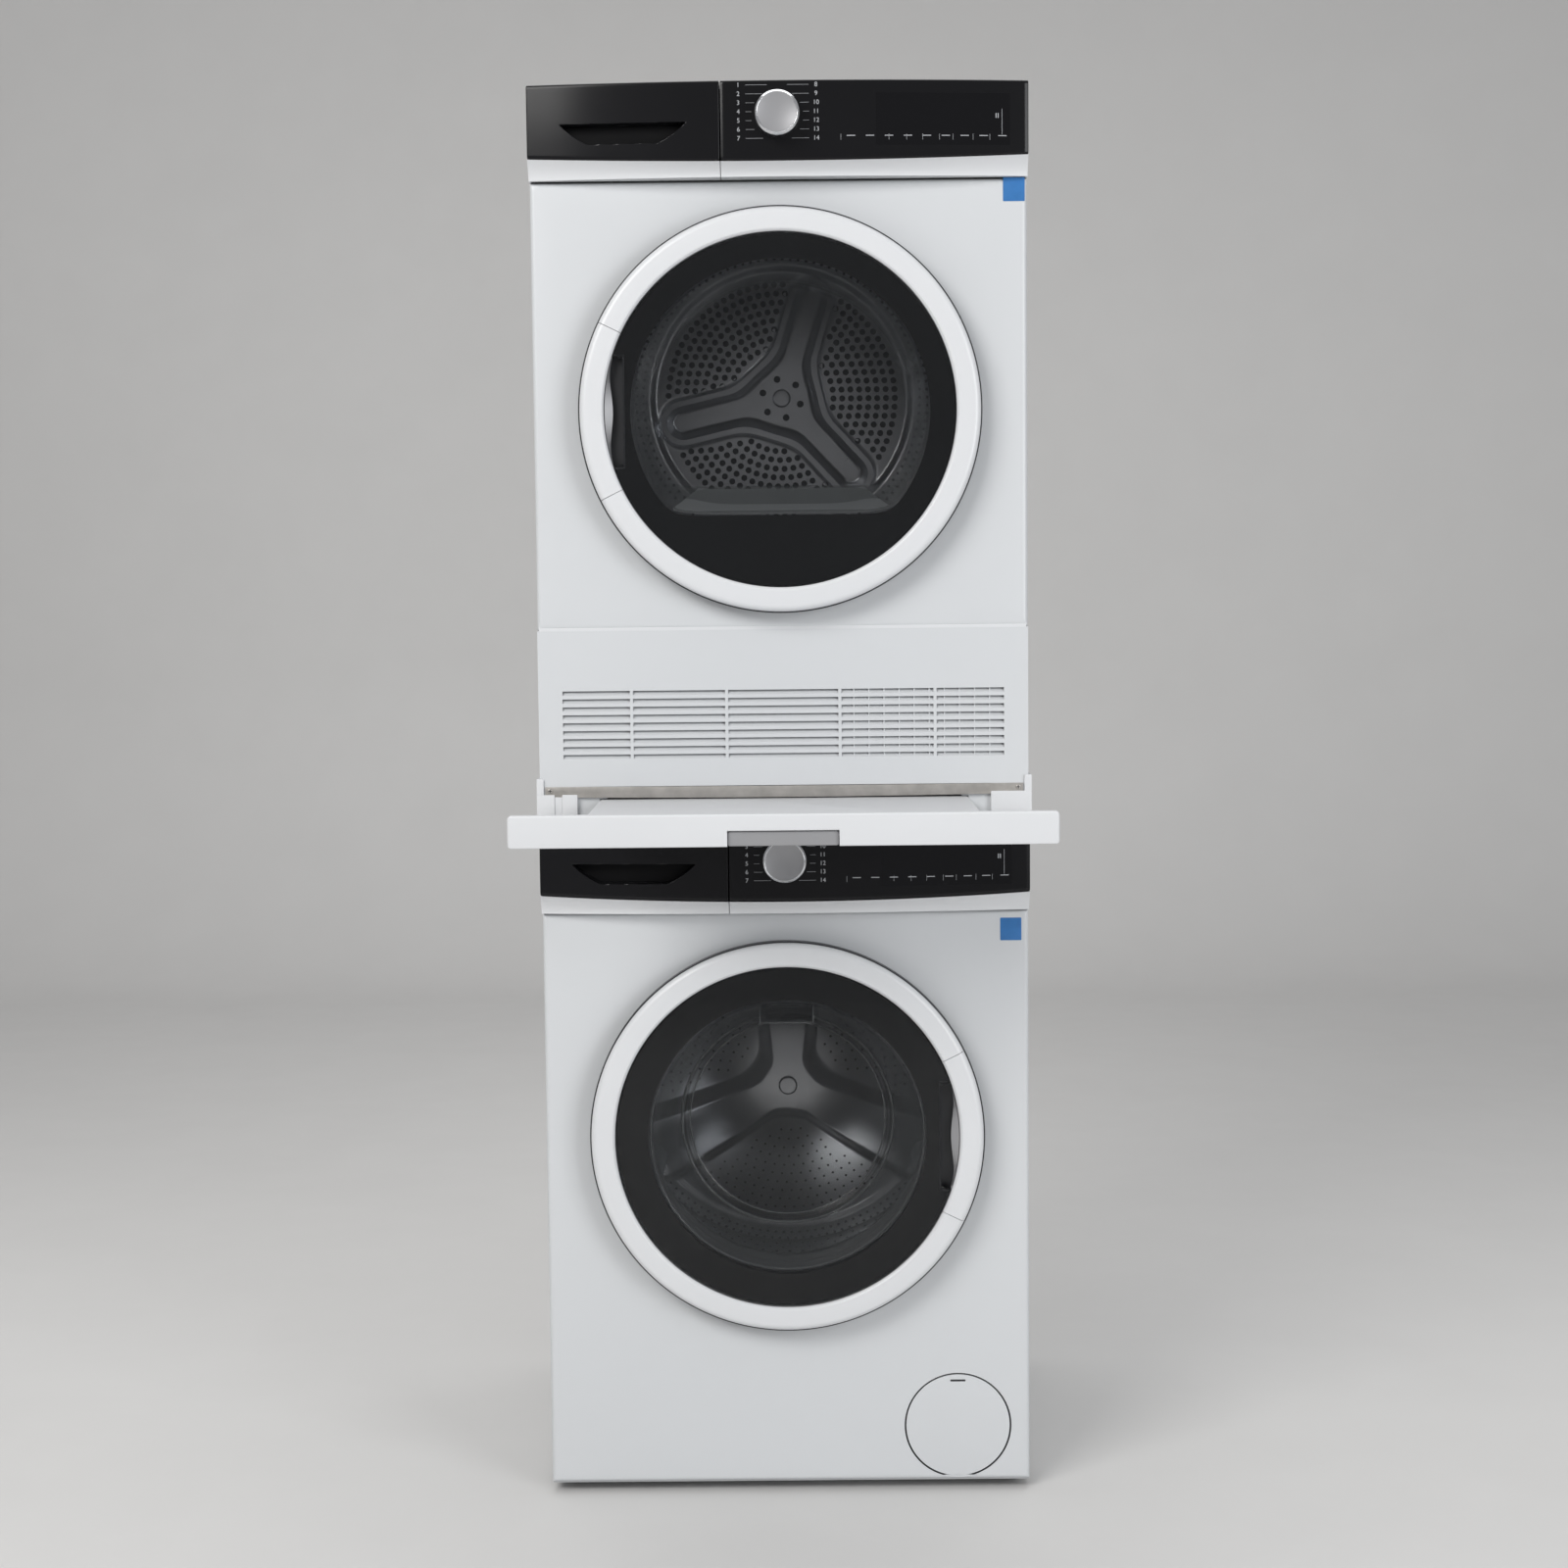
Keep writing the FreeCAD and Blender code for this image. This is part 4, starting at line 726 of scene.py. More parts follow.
    def legends(self) -> None:
        """Numbers and leader lines round the dial, and the touch keys' marks under the display."""
        piece = Piece(f"{self.name}_panel_marks")
        centre_z = (self.knob_low.z + self.knob_high.z) / 2
        rows = np.linspace(0.036, -0.026, 7)
        for side in (-1, 1):
            for row in rows:
                near = math.sqrt(max(0.031**2 - min(abs(row), 0.030) ** 2, 0.0001)) if abs(row) < 0.030 else 0.012
                self._bar(piece, side * near, side * 0.0375, centre_z + row, 0.0003)
                number = str(int(round((0.036 - row) / 0.01033)) + (8 if side > 0 else 1))
                self._numeral(piece, number, side * 0.046, centre_z + row)
        for x in (0.075, 0.132, 0.153, 0.172, 0.192, 0.208, 0.232, 0.252):
            self._bar(piece, x - 0.00015, x + 0.00015, self.panel_high.z - 0.067, 0.007)
        for x in np.linspace(0.082, 0.262, 9):
            self._bar(piece, x, x + 0.010, self.panel_high.z - 0.0655, 0.0009)
        self._bar(piece, 0.2664, 0.2668, self.panel_high.z - 0.049, 0.030)
        self._bar(piece, 0.2590, 0.2600, self.panel_high.z - 0.042, 0.0055)
        self._bar(piece, 0.2615, 0.2625, self.panel_high.z - 0.042, 0.0055)
        piece.finish("cabinet", Finishes.print_grey, slot=f"{self.name}_control_panel")

    def _numeral(self, piece: Piece, number: str, x: float, z: float) -> None:
        """Add one small printed number, centred on X and Z, on the panel's face."""
        curve = bpy.data.curves.new("numeral", "FONT")
        curve.body, curve.size, curve.extrude = number, 0.0075, 0.0002
        curve.align_x, curve.align_y = "CENTER", "CENTER"
        holder = bpy.data.objects.new("numeral", curve)
        mesh = bpy.data.meshes.new_from_object(holder)
        points = np.array([vertex.co[:] for vertex in mesh.vertices])
        first = piece.count
        face = self.front - self.deepest_at(np.array([x]))[0]
        piece.points.append(np.column_stack([points[:, 0] + x, face - points[:, 2], points[:, 1] + z]))
        piece.faces += [tuple(first + index for index in polygon.vertices) for polygon in mesh.polygons]
        bpy.data.objects.remove(holder)
        bpy.data.meshes.remove(mesh)
        bpy.data.curves.remove(curve)

    def _bar(self, piece: Piece, start: float, stop: float, z: float, height: float) -> None:
        """Add one printed bar that follows the panel's bow."""
        start, stop = sorted((start, stop))
        x = np.linspace(start, stop, 8)
        face = self.front - self.deepest_at(x)
        loops = []
        for lift, level in ((-0.5, 0.0002), (0.5, 0.0002), (0.5, -0.0003), (-0.5, -0.0003)):
            loops.append(np.stack([x, face + level, np.full(len(x), z + lift * height)], axis=-1))
        piece.surface(np.stack(loops).transpose(1, 0, 2), caps=True)

    def sticker(self) -> None:
        """A small plain blue sticker under the panel's right end."""
        drop = 0.011 if self.name == "washer" else 0.0005
        right = 0.2895 if self.name == "washer" else 0.2955
        top = self.trim_low.z - drop
        Piece(f"{self.name}_sticker").surface(
            slab(Vector((right - 0.026, self.front - 0.0004, top - 0.028)), Vector((right, self.front + 0.0002, top)),
                 0.0001, 0.001), caps=True).finish(
            "cabinet", Finishes.sticker, slot=f"{self.name}_front_panel")


# ---------------------------------------------------------------- doors


@dataclass
class Door:
    """A round door: ring, grip, smoked cover, bowl, and a dark liner band that paints the shadow gap round the ring."""

    machine: Machine
    grip_half_angle: float = 26.0
    seam_angle: float = 0.16
    scoop_width: float = 0.023
    scoop_half_height: float = 0.066
    segments: int = 256

    def __post_init__(self) -> None:
        """Read the door's places from the frame."""
        self.name = self.machine.name
        self.body = f"{self.name}_door"
        self.centre = (0.0, self.machine.door_z)
        self.ring_low, self.ring_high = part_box(f"{self.name}_door_ring")
        self.cover_low, self.cover_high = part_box(f"{self.name}_door_cover")
        self.bowl_low, self.bowl_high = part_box(f"{self.name}_door_bowl")
        self.outer = self.machine.ring_radius
        self.inner = self.outer - 0.031
        self.away = 0.0 if self.machine.hinge is HingeSide.LEFT else 180.0

    def build(self) -> None:
        """Build every visible piece of the door."""
        self.ring()
        self.cover()
        # lip() paints the scoop's highlight as a light crescent
        self.lip()
        self.bowl()

    def lip(self) -> None:
        """A painted highlight in the grip's scoop, shaped as a light inner lip: a crescent, widest at its middle, width
        w cos^2 of the share.
        """
        angles = np.radians(np.linspace(-17.0, 17.0, 60))
        wide = 0.0095 * np.cos(angles / angles[-1] * math.pi / 2) ** 2 + 0.0002
        outer = np.full(60, self.inner - 0.0010)
        near, far = self.cover_low.y + 0.0012, self.cover_high.y + 0.0022
        loops = [self.around(angles, outer, near), self.around(angles, outer - wide, far),
                 self.around(angles, outer - wide, far + 0.001), self.around(angles, outer, far + 0.001)]
        # satin silver crescent: painted highlight inside the dark scoop
        Piece(f"{self.name}_grip_painted_highlight").surface(np.stack(loops).transpose(1, 0, 2), caps=True).finish(
            self.body, Finishes.silver, slot=f"{self.name}_door_grip")

    def ring_profile(self) -> np.ndarray:
        """The ring's section: a flat face with a small bevel inwards and a tighter roll outwards."""
        front, back, outer = self.ring_low.y, self.ring_high.y, self.outer - 0.0016
        corners = [(self.inner, back), (self.inner, front + 0.0030), (self.inner + 0.0030, front),
                   (outer - 0.0045, front + 0.0004), (outer, front + 0.0050), (outer, back)]
        return rounded(corners, [0.001, 0.0012, 0.0014, 0.0035, 0.0030, 0.0012], 7)

    def ring(self) -> None:
        """The ring, the grip as a separate segment opposite the hinge, and a dark band round both that paints the
        shadow gap behind them.
        """
        half = self.grip_half_angle
        profile = self.ring_profile()
        gap = self.seam_angle
        whole = turned(profile, self.centre, self.segments, (self.away + half + gap, self.away + 360 - half - gap))
        Piece(f"{self.name}_ring").surface(whole, caps=True).finish(
            self.body, Finishes.moulding, (f"{self.name}_door_ring",))
        grip = turned(profile, self.centre, 56, (self.away - half, self.away + half))
        Piece(f"{self.name}_grip").surface(grip, caps=True).finish(
            self.body, Finishes.moulding, (f"{self.name}_door_grip",))
        # dark band just inside the ring's outer edge: painted shadow of the gap between door and front
        start, stop = self.ring_low.y + 0.0075, self.ring_high.y - 0.0010
        edge = rounded([(self.outer - 0.0030, start), (self.outer, start), (self.outer, stop),
                        (self.outer - 0.0030, stop)], [0.0002, 0.0005, 0.0005, 0.0002], 4)
        Piece(f"{self.name}_ring_shadow_edge").surface(turned(edge, self.centre, self.segments), close_rows=True).finish(
            self.body, Finishes.door_liner, slot=f"{self.name}_door_frame")

    def cover_edge(self, angles: np.ndarray) -> np.ndarray:
        """The cover's radius by angle from the grip's side: R, or less where the scoop is cut away.

        Within the scoop the edge is the nearer of the chord, c / cos a, and the scoop's side, h / sin a.
        """
        reach = self.inner - 0.0006
        chord = self.inner - self.scoop_width
        half_angle = math.asin(self.scoop_half_height / reach)
        to_side = self.scoop_half_height / np.maximum(np.abs(np.sin(angles)), 1e-9)
        within = np.abs(np.tan(angles)) * chord <= self.scoop_half_height
        cut_edge = np.where(within, chord / np.maximum(np.cos(angles), 1e-6), to_side)
        return np.where(np.abs(angles) <= half_angle, np.minimum(cut_edge, reach), reach)

    def cover_angles(self) -> np.ndarray:
        """Angles round the cover, with the scoop's corners among them."""
        half_angle = math.asin(self.scoop_half_height / (self.inner - 0.0006))
        corners = [half_angle, -half_angle, half_angle * 1.001, -half_angle * 1.001]
        return np.unique(np.concatenate([np.linspace(-math.pi, math.pi, 360, endpoint=False), corners]))

    def around(self, angles: np.ndarray, radius: np.ndarray, y: float) -> np.ndarray:
        """Points round the door at a depth, with the angle zero on the grip's side."""
        sign = 1.0 if self.machine.hinge is HingeSide.LEFT else -1.0
        return np.stack([sign * radius * np.cos(angles), np.full(len(angles), y),
                         self.centre[1] + radius * np.sin(angles)], axis=-1)

    def cover(self) -> None:
        """The smoked disc with a soft front edge, and the black print on its back round the window."""
        angles = self.cover_angles()
        edge = self.cover_edge(angles)
        front, back = self.cover_low.y, self.cover_high.y
        rows = [self.around(angles, edge * share, y) for share, y in (
            (0.0, front), (0.5, front), (0.985, front), (0.996, front + 0.0002), (1.0, front + 0.001),
            (1.0, back), (0.5, back), (0.0, back))]
        Piece(f"{self.name}_cover").surface(np.stack(rows)).finish(
            self.body, Finishes.smoked, (f"{self.name}_door_cover",))
        window = self.window(angles)
        near, far = back + 0.0004, back + 0.0014
        loop = [self.around(angles, window, near), self.around(angles, edge - 0.0015, near),
                self.around(angles, edge - 0.0015, far), self.around(angles, window, far)]
        Piece(f"{self.name}_print").surface(np.stack(loop), close_rows=True).finish(
            self.body, Finishes.mask, slot=f"{self.name}_door_cover")

    def window(self, angles: np.ndarray) -> np.ndarray:
        """The clear window's radius by angle, made by the subclass."""
        raise NotImplementedError

    def bowl(self) -> None:
        """The bowl, made by the subclass."""
        raise NotImplementedError


@dataclass
class WasherDoor(Door):
    """The washer's door, with a deep round bowl that has a flat facet at its top."""

    def window(self, angles: np.ndarray) -> np.ndarray:
        """A round window."""
        return np.full(len(angles), 0.1705)

    def bowl(self) -> None:
        """The glass bowl; points above the facet's height are pressed down to it."""
        front, deep = self.bowl_low.y, self.bowl_high.y
        rim = (self.bowl_high.x - self.bowl_low.x) / 2
        wide = rim - 0.016
        outer = rounded([(rim, front), (rim, front + 0.004), (wide, front + 0.004), (wide - 0.006, front + 0.027),
                         (wide - 0.030, deep - 0.018), (wide - 0.052, deep - 0.004), (0.0, deep),
                         (0.0, deep - 0.005), (wide - 0.055, deep - 0.009), (wide - 0.035, deep - 0.022),
                         (wide - 0.0105, front + 0.026), (wide - 0.0045, front)],
                        [0.001, 0.001, 0.002, 0.012, 0.012, 0.016, 0.0, 0.0, 0.014, 0.011, 0.011, 0.001], 8)
        grid = turned(outer, self.centre, self.segments)
        radius = np.hypot(grid[..., 0], grid[..., 2] - self.centre[1])
        inward = np.clip((wide - 0.004 - radius) / 0.006, 0, 1)
        facet = np.maximum(radius * 0.972, 0.06) + (1 - inward) * 0.05
        grid[..., 2] = self.centre[1] + np.minimum(grid[..., 2] - self.centre[1], facet)
        Piece(f"{self.name}_bowl").surface(grid, close_rows=True).finish(
            self.body, Finishes.bowl, (f"{self.name}_door_bowl",))
        # the rings and the facet use the lighter glass: painted highlight
        rings = Piece(f"{self.name}_bowl_rings")
        for radius, y, thick in ((wide - 0.0012, front + 0.006, 0.0012), (wide - 0.036, deep - 0.016, 0.0016),
                                 (wide - 0.046, deep - 0.009, 0.0010)):
            bead = np.column_stack([radius + thick * arc(0, 315, 8)[:, 0], y + thick * arc(0, 315, 8)[:, 1]])
            rings.surface(turned(bead, self.centre, self.segments), close_rows=True)
        rings.finish(self.body, Finishes.bowl_highlight, slot=f"{self.name}_door_bowl")
        half, ledge = 0.033, self.centre[1] + wide - 0.036
        facet = Piece(f"{self.name}_bowl_facet")
        low, high = Vector((-half, front + 0.030, ledge)), Vector((half, deep - 0.030, ledge + 0.0016))
        facet.surface(slab(low, high, 0.0005, 0.003, "z"), caps=True)
        for side in (-half, half):
            low = Vector((side - 0.0008, front + 0.026, ledge))
            high = Vector((side + 0.0008, deep - 0.030, ledge + 0.026))
            facet.surface(slab(low, high, 0.0003), caps=True)
        facet.finish(self.body, Finishes.bowl_highlight, slot=f"{self.name}_door_bowl")


@dataclass
class DryerDoor(Door):
    """The dryer's door, with a clear bowl that is round above and flat below."""

    flat: float = 0.124
    corner: float = 0.030

    def window(self, angles: np.ndarray) -> np.ndarray:
        """A window of the bowl's own outline."""
        return self.outline(angles, 0.1795, self.flat + 0.0005)

    def outline(self, angles: np.ndarray, wide: float, flat: float) -> np.ndarray:
        """The bowl's edge by angle: the soft minimum of the circle and the flat.

        The soft minimum of a and b is (a^-p + b^-p)^(-1/p) with p = 24.
        """
        down = np.maximum(-np.sin(angles), 1e-3)
        line = flat / down
        power = 24.0
        return (wide**-power + line**-power) ** (-1 / power)

    def bowl(self) -> None:
        """The clear bowl with its thick floor and an inner step."""
        front, deep = self.bowl_low.y, self.bowl_high.y
        wide = (self.bowl_high.x - self.bowl_low.x) / 2 - 0.006
        angles = np.linspace(0, 2 * math.pi, 360, endpoint=False)
        steps = [(0.006, 0.0, 0.0), (0.006, 0.004, 0.0), (0.0, 0.004, 0.0), (-0.003, 0.012, 0.004),
                 (-0.012, 0.050, 0.026), (-0.0165, 0.068, 0.032), (-0.024, 0.0745, 0.036), (-0.080, 0.075, 0.036),
                 (-0.080, 0.071, 0.036), (-0.026, 0.0705, 0.0375), (-0.0205, 0.066, 0.0345), (-0.016, 0.050, 0.0285),
                 (-0.007, 0.012, 0.0065), (-0.004, 0.0, 0.004)]
        rows = []
        for grow, back, rise in steps:
            radius = self.outline(angles, wide + grow, self.flat - rise)
            if grow > 0:
                radius = np.full(len(angles), wide + grow)
            rows.append(np.stack([radius * np.cos(angles), np.full(len(angles), min(front + back, deep)),
                                  self.centre[1] + radius * np.sin(angles)], axis=-1))
        middle_back = np.array([0.0, deep, self.centre[1]])
        middle_front = np.array([0.0, deep - 0.004, self.centre[1]])
        grid = np.stack(rows[:8] + [np.broadcast_to(middle_back, rows[0].shape),
                                    np.broadcast_to(middle_front, rows[0].shape)] + rows[8:])
        Piece(f"{self.name}_bowl").surface(grid, close_rows=True).finish(
            self.body, Finishes.bowl, (f"{self.name}_door_bowl",))
        self.floor(front, wide)

    def floor(self, front: float, wide: float) -> None:
        """The bowl's thick moulded floor, which slopes up to the back, in the lighter glass that paints its highlight.
        """
        half = math.sqrt(wide**2 - self.flat**2)
        below = self.centre[1] - self.flat
        loops = []
        for share in np.linspace(0, 1, 12):
            x = np.linspace(-1, 1, 40) * (half * (1 - 0.22 * share))
            z = below + 0.0008 + 0.030 * share + 0.006 * np.abs(x / half) ** 6
            y = front + 0.004 + 0.062 * share
            upper = np.stack([x, np.full(40, y), z + 0.0030], axis=-1)
            lower = np.stack([x[::-1], np.full(40, y), z[::-1]], axis=-1)
            loops.append(np.concatenate([upper, lower]))
        Piece(f"{self.name}_bowl_floor").surface(np.stack(loops), caps=True).finish(
            self.body, Finishes.bowl_highlight, slot=f"{self.name}_door_bowl")


# ---------------------------------------------------------------- drums and gasket


@dataclass
class Drum:
    """A drum's visible inside: lifters, hub star, holes and hub cap.

    Lengths are in metres and angles in degrees.
    """

    name: str
    arms: tuple[float, ...]
    lifter_angles: tuple[float, ...]
    lifter_height: float
    lifter_half_width: float
    hole_radius: float
    hole_pitch: float
    hub_radius: float
    arm_half: float
    arm_spread: float
    arm_reach: float
    field_radius: float
    shaft: float
    star_rise: float = 0.010
    groove: float = 0.004
    rim_step: float = 0.008
    flank: float = 0.009
    dimples: int = 6
    dome: float = 0.0

    def __post_init__(self) -> None:
        """Read the drum's places from the frame."""
        low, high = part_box(f"{self.name}_drum")
        self.body = f"{self.name}_basket"
        self.radius = (high.x - low.x) / 2
        self.centre = (0.0, (low.z + high.z) / 2)
        self.front, self.back = low.y, high.y - self.shaft

    def build(self) -> None:
        """Build the drum's pieces; the drum's own sheet is carried over."""
        self.lifters()
        self.back_wall()
        self.holes()
        self.hub()

    def lifters(self) -> None:
        """The lifters: rounded ridges along the drum, lower at both ends.

        A ridge's section at the share s is h (1 - |2s - 1|^2.6) above the drum.
        """
        lifter_low, lifter_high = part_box(f"{self.name}_drum_lifters")
        piece = Piece(f"{self.name}_ridges")
        along = np.linspace(0, 1, 32)
        across = np.linspace(0, 1, 25)
        for angle in self.lifter_angles:
            turn = math.radians(angle)
            outward = np.array([math.cos(turn), 0.0, math.sin(turn)])
            side = np.array([-math.sin(turn), 0.0, math.cos(turn)])
            rows = []
            for share in along:
                end = min(1.0, math.sqrt(max(0.0, 1 - (abs(2 * share - 1)) ** 8)) + 0.02)
                y = lifter_low.y + 0.001 + share * (lifter_high.y - lifter_low.y - 0.002)
                offset = self.lifter_half_width * (2 * across - 1) * (0.6 + 0.4 * end)
                height = self.lifter_height * (1 - np.abs(2 * across - 1) ** 2.6) * end
                shell = np.sqrt(np.maximum((self.radius - 0.0012) ** 2 - offset**2, 0))
                top = (shell - height)[:, None] * outward + offset[:, None] * side
                under = shell[::-1][:, None] * outward + offset[::-1][:, None] * side
                loop = np.concatenate([top, under[1:-1]])
                loop[:, 1] = y
                loop[:, 2] += self.centre[1]
                rows.append(loop)
            piece.surface(np.stack(rows), caps=True)
        piece.finish(self.body, Finishes.lifter, (f"{self.name}_drum_lifters",), crease=50)

    def star_depth(self, x: np.ndarray, z: np.ndarray) -> np.ndarray:
        """How far a point of the back wall lies outside the pressed star, negative inside it.

        The star is the smooth union of a round hub and three arms; the smooth union of a and b is
        min(a, b) - k max(0, 1 - |a - b| / k)^2 / 4.
        """
        shape = np.hypot(x, z) - self.hub_radius
        for arm in self.arms:
            turn = math.radians(arm)
            along = x * math.cos(turn) + z * math.sin(turn)
            off = np.abs(-x * math.sin(turn) + z * math.cos(turn))
            half = self.arm_half + self.arm_spread * np.clip(along / self.arm_reach, 0, 1)
            past = np.maximum(along - self.arm_reach + self.arm_half, 0)
            gap = np.where(along < 0, np.hypot(off, along) - half + 0.006, np.hypot(off, past) - half)
            blend = 0.030
            overlap = np.maximum(0, 1 - np.abs(shape - gap) / blend)
            shape = np.minimum(shape, gap) - blend * overlap**2 / 4
        return shape

    def wall_y(self, x: np.ndarray, z: np.ndarray) -> np.ndarray:
        """The back wall's Y: a shallow dome with the star standing forward and a groove round it."""
        radius = np.hypot(x, z)
        depth = self.star_depth(x, z)
        ease = np.clip((self.flank / 2 - depth) / self.flank, 0, 1)
        raised = self.star_rise * ease * ease * (3 - 2 * ease)
        groove = self.groove * np.exp(-((depth - 0.010) / 0.0045) ** 2)
        step = np.clip((radius - self.field_radius - 0.004) / 0.010, 0, 1)
        rim = -self.rim_step * step * step * (3 - 2 * step)
        return self.face + groove - raised + rim - self.dome * (1 - (radius / self.radius) ** 2)

    @property
    def face(self) -> float:
        """The middle plane of the back wall's inner face."""
        return self.back - 0.0062

    def back_wall(self) -> None:
        """The back wall as one closed disc: the pressed face in front and a flat back."""
        radii = np.concatenate([[0.0], np.linspace(0.004, self.radius - 0.0035, 130)])
        angles = np.linspace(0, 2 * math.pi, 420, endpoint=False)
        x = radii[:, None] * np.cos(angles)[None]
        z = radii[:, None] * np.sin(angles)[None]
        front = np.stack([x, self.wall_y(x, z), z + self.centre[1]], axis=-1)
        behind = front[::-1][::10].copy()
        behind[..., 1] = self.back - 0.0016
        behind[-1, :, 0], behind[-1, :, 2] = 0.0, self.centre[1]
        Piece(f"{self.name}_back_wall").surface(np.concatenate([front, behind])).finish(
            self.body, Finishes.steel_drum, slot=f"{self.name}_drum", crease=60)

    def holes(self) -> None:
        """Rings of holes in the back wall between the arms, and rows round the washer's drum wall, each a dark disc of
        painted shade.
        """
        piece = Piece(f"{self.name}_hole_rings")
        pitch = self.hole_pitch
        for ring in np.arange(self.hub_radius + 0.020, self.field_radius - pitch * 0.4, pitch):
            count = int(2 * math.pi * ring / pitch)
            for angle in np.linspace(0, 2 * math.pi, count, endpoint=False):
                x, z = ring * math.cos(angle), ring * math.sin(angle)
                if float(self.star_depth(np.array(x), np.array(z))) > max(self.flank, 0.019):
                    self._dot(piece, x, z, self.hole_radius)
        for ring in (self.field_radius + 0.022, self.field_radius + 0.032):
            for angle in np.linspace(0, 2 * math.pi, int(2 * math.pi * ring / 0.011), endpoint=False):
                self._dot(piece, ring * math.cos(angle), ring * math.sin(angle), 0.0021)
        piece.finish(self.body, Finishes.hollow_shade, slot=f"{self.name}_drum")
        if self.name != "washer":
            return
        wall = Piece(f"{self.name}_wall_holes")
        for row, y in enumerate(np.arange(self.front + 0.035, self.back - 0.02, 0.020)):
            for angle in np.linspace(0, 2 * math.pi, 84, endpoint=False) + 0.037 * (row % 2):
                if self.clear_of_lifters(angle):
                    self._wall_dot(wall, angle, y)
        wall.finish(self.body, Finishes.hollow_shade, slot=f"{self.name}_drum")

    def clear_of_lifters(self, angle: float) -> bool:
        """Whether a wall hole at an angle lies beside every lifter."""
        nearest = min(abs((angle - math.radians(lifter) + math.pi) % (2 * math.pi) - math.pi)
                      for lifter in self.lifter_angles)
        return nearest * self.radius > self.lifter_half_width + 0.008

    def _dot(self, piece: Piece, x: float, z: float, radius: float) -> None:
        """Add one hole or dimple of the back wall as a thin dark disc of painted shade that lies on it."""
        ring = arc(0, 330, 12) * radius
        px, pz = x + ring[:, 0], z + ring[:, 1]
        y = self.wall_y(px, pz)
        loops = [np.column_stack([px, y + level, self.centre[1] + pz]) for level in (-0.0002, 0.0006)]
        piece.surface(np.stack(loops), caps=True)

    def _wall_dot(self, piece: Piece, angle: float, y: float) -> None:
        """Add one hole of the drum's wall as a thin dark six-sided disc of painted shade."""
        ring = arc(0, 300, 6) * 0.0018
        loops = []
        for inward in (0.0016, 0.0004):
            radius = self.radius - 0.0008 - inward
            turn = angle + ring[:, 0] / radius
            loops.append(np.column_stack([radius * np.cos(turn), y + ring[:, 1],
                                          self.centre[1] + radius * np.sin(turn)]))
        piece.surface(np.stack(loops), caps=True)

    def hub(self) -> None:
        """The hub's button, and the dimples round it drawn as dark discs of painted shade."""
        face = float(self.wall_y(np.array(0.0), np.array(0.0)))
        button = rounded([(0.0, face - 0.006), (0.011, face - 0.006), (0.0125, face - 0.004), (0.0125, face + 0.001),
                          (0.0, face + 0.001)], [0.0, 0.001, 0.001, 0.0005, 0.0], 4)
        Piece(f"{self.name}_hub_button").surface(turned(button, self.centre, 48), close_rows=True).finish(
            self.body, Finishes.steel_drum, slot=f"{self.name}_drum")
        # dark discs: painted shade in the dimples
        piece = Piece(f"{self.name}_hub_dimple_shade")
        for k in range(self.dimples):
            angle = math.radians(60 * k + self.arms[0] - 30)
            self._dot(piece, 0.027 * math.cos(angle), 0.027 * math.sin(angle), 0.0048)
        self._dot(piece, 0.0, 0.0, 0.0001)
        piece.finish(self.body, Finishes.hollow_shade, slot=f"{self.name}_drum")


class Gasket:
    """The washer's bellows between the front and the tub."""

    def build(self) -> None:
        """A folded rubber sleeve: the wall's middle line waves by 5 mm along it."""
        low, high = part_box("washer_door_gasket")
        centre = (0.0, (low.z + high.z) / 2)
        outer = (high.x - low.x) / 2
        inner = outer - 0.018
        share = np.linspace(0, 1, 60)
        y = low.y + 0.0004 + share * (high.y - low.y - 0.0008)
        wave = inner + 0.007 - 0.0055 * np.cos(share * math.pi * 5) * np.sin(share * math.pi) ** 0.4
        inside = np.column_stack([wave - 0.0012, y])
        outside = np.column_stack([np.full(60, outer - 0.0004), y])[::-1]
        profile = np.concatenate([inside, outside])
        Piece("gasket_bellows").surface(turned(profile, centre, 192), close_rows=True).finish(
            "cabinet", Finishes.gasket, ("washer_door_gasket",), crease=60)


# ---------------------------------------------------------------- shelf, frame, plinth and base


class Shelf:
    """The sliding shelf between the machines."""

    def build(self) -> None:
        """The board, its front lip and the pull set into the lip."""
        low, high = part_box("shelf_board")
        Piece("shelf_plank").surface(slab(low, high, 0.0022, 0.006, "z"), caps=True).finish(
            "shelf", Finishes.laminate, ("shelf_board",))
        low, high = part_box("shelf_front")
        handle_low, handle_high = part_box("shelf_handle")
        self.lip(low, high, handle_low, handle_high)
        edge = 0.0015
        piece = Piece("shelf_pull")
        piece.surface(slab(handle_low + Vector((0.0003, 0.0035, 0.0003)), handle_high - Vector((0.0003, 0, 0.0003)),
                           edge, 0.003), caps=True)
        piece.finish("shelf", Finishes.silver, ("shelf_handle",))

    def lip(self, low: Vector, high: Vector, handle_low: Vector, handle_high: Vector) -> None:
        """The lip, with rounded ends and a notch for the pull: each column runs round its own section."""
        across = np.unique(np.concatenate([
            np.linspace(low.x, high.x, 60), low.x + 0.004 * (1 - arc(0, 90, 8)[:, 0]),
            high.x - 0.004 * (1 - arc(0, 90, 8)[:, 0]),
            [handle_low.x - 0.0001, handle_low.x, handle_high.x, handle_high.x + 0.0001]]))
        loops = []
        for x in across:
            inset = min(x - low.x, high.x - x)
            shrink = 0.004 - math.sqrt(max(0.0, 0.004**2 - (0.004 - min(inset, 0.004)) ** 2))
            notch = handle_low.x - 0.00005 < x < handle_high.x + 0.00005
            floor = (handle_high.z + 0.0004) if notch else low.z + shrink
            section = rounded([(low.y + shrink * 0.5, floor), (high.y, floor), (high.y, high.z - shrink),
                               (low.y + shrink * 0.5, high.z - shrink)], [0.0016, 0.0008, 0.0008, 0.0022], 5)
            loops.append(np.column_stack([np.full(len(section), x), section[:, 0], section[:, 1]]))
        Piece("shelf_lip").surface(np.stack(loops), caps=True).finish(
            "shelf", Finishes.laminate, ("shelf_front",))


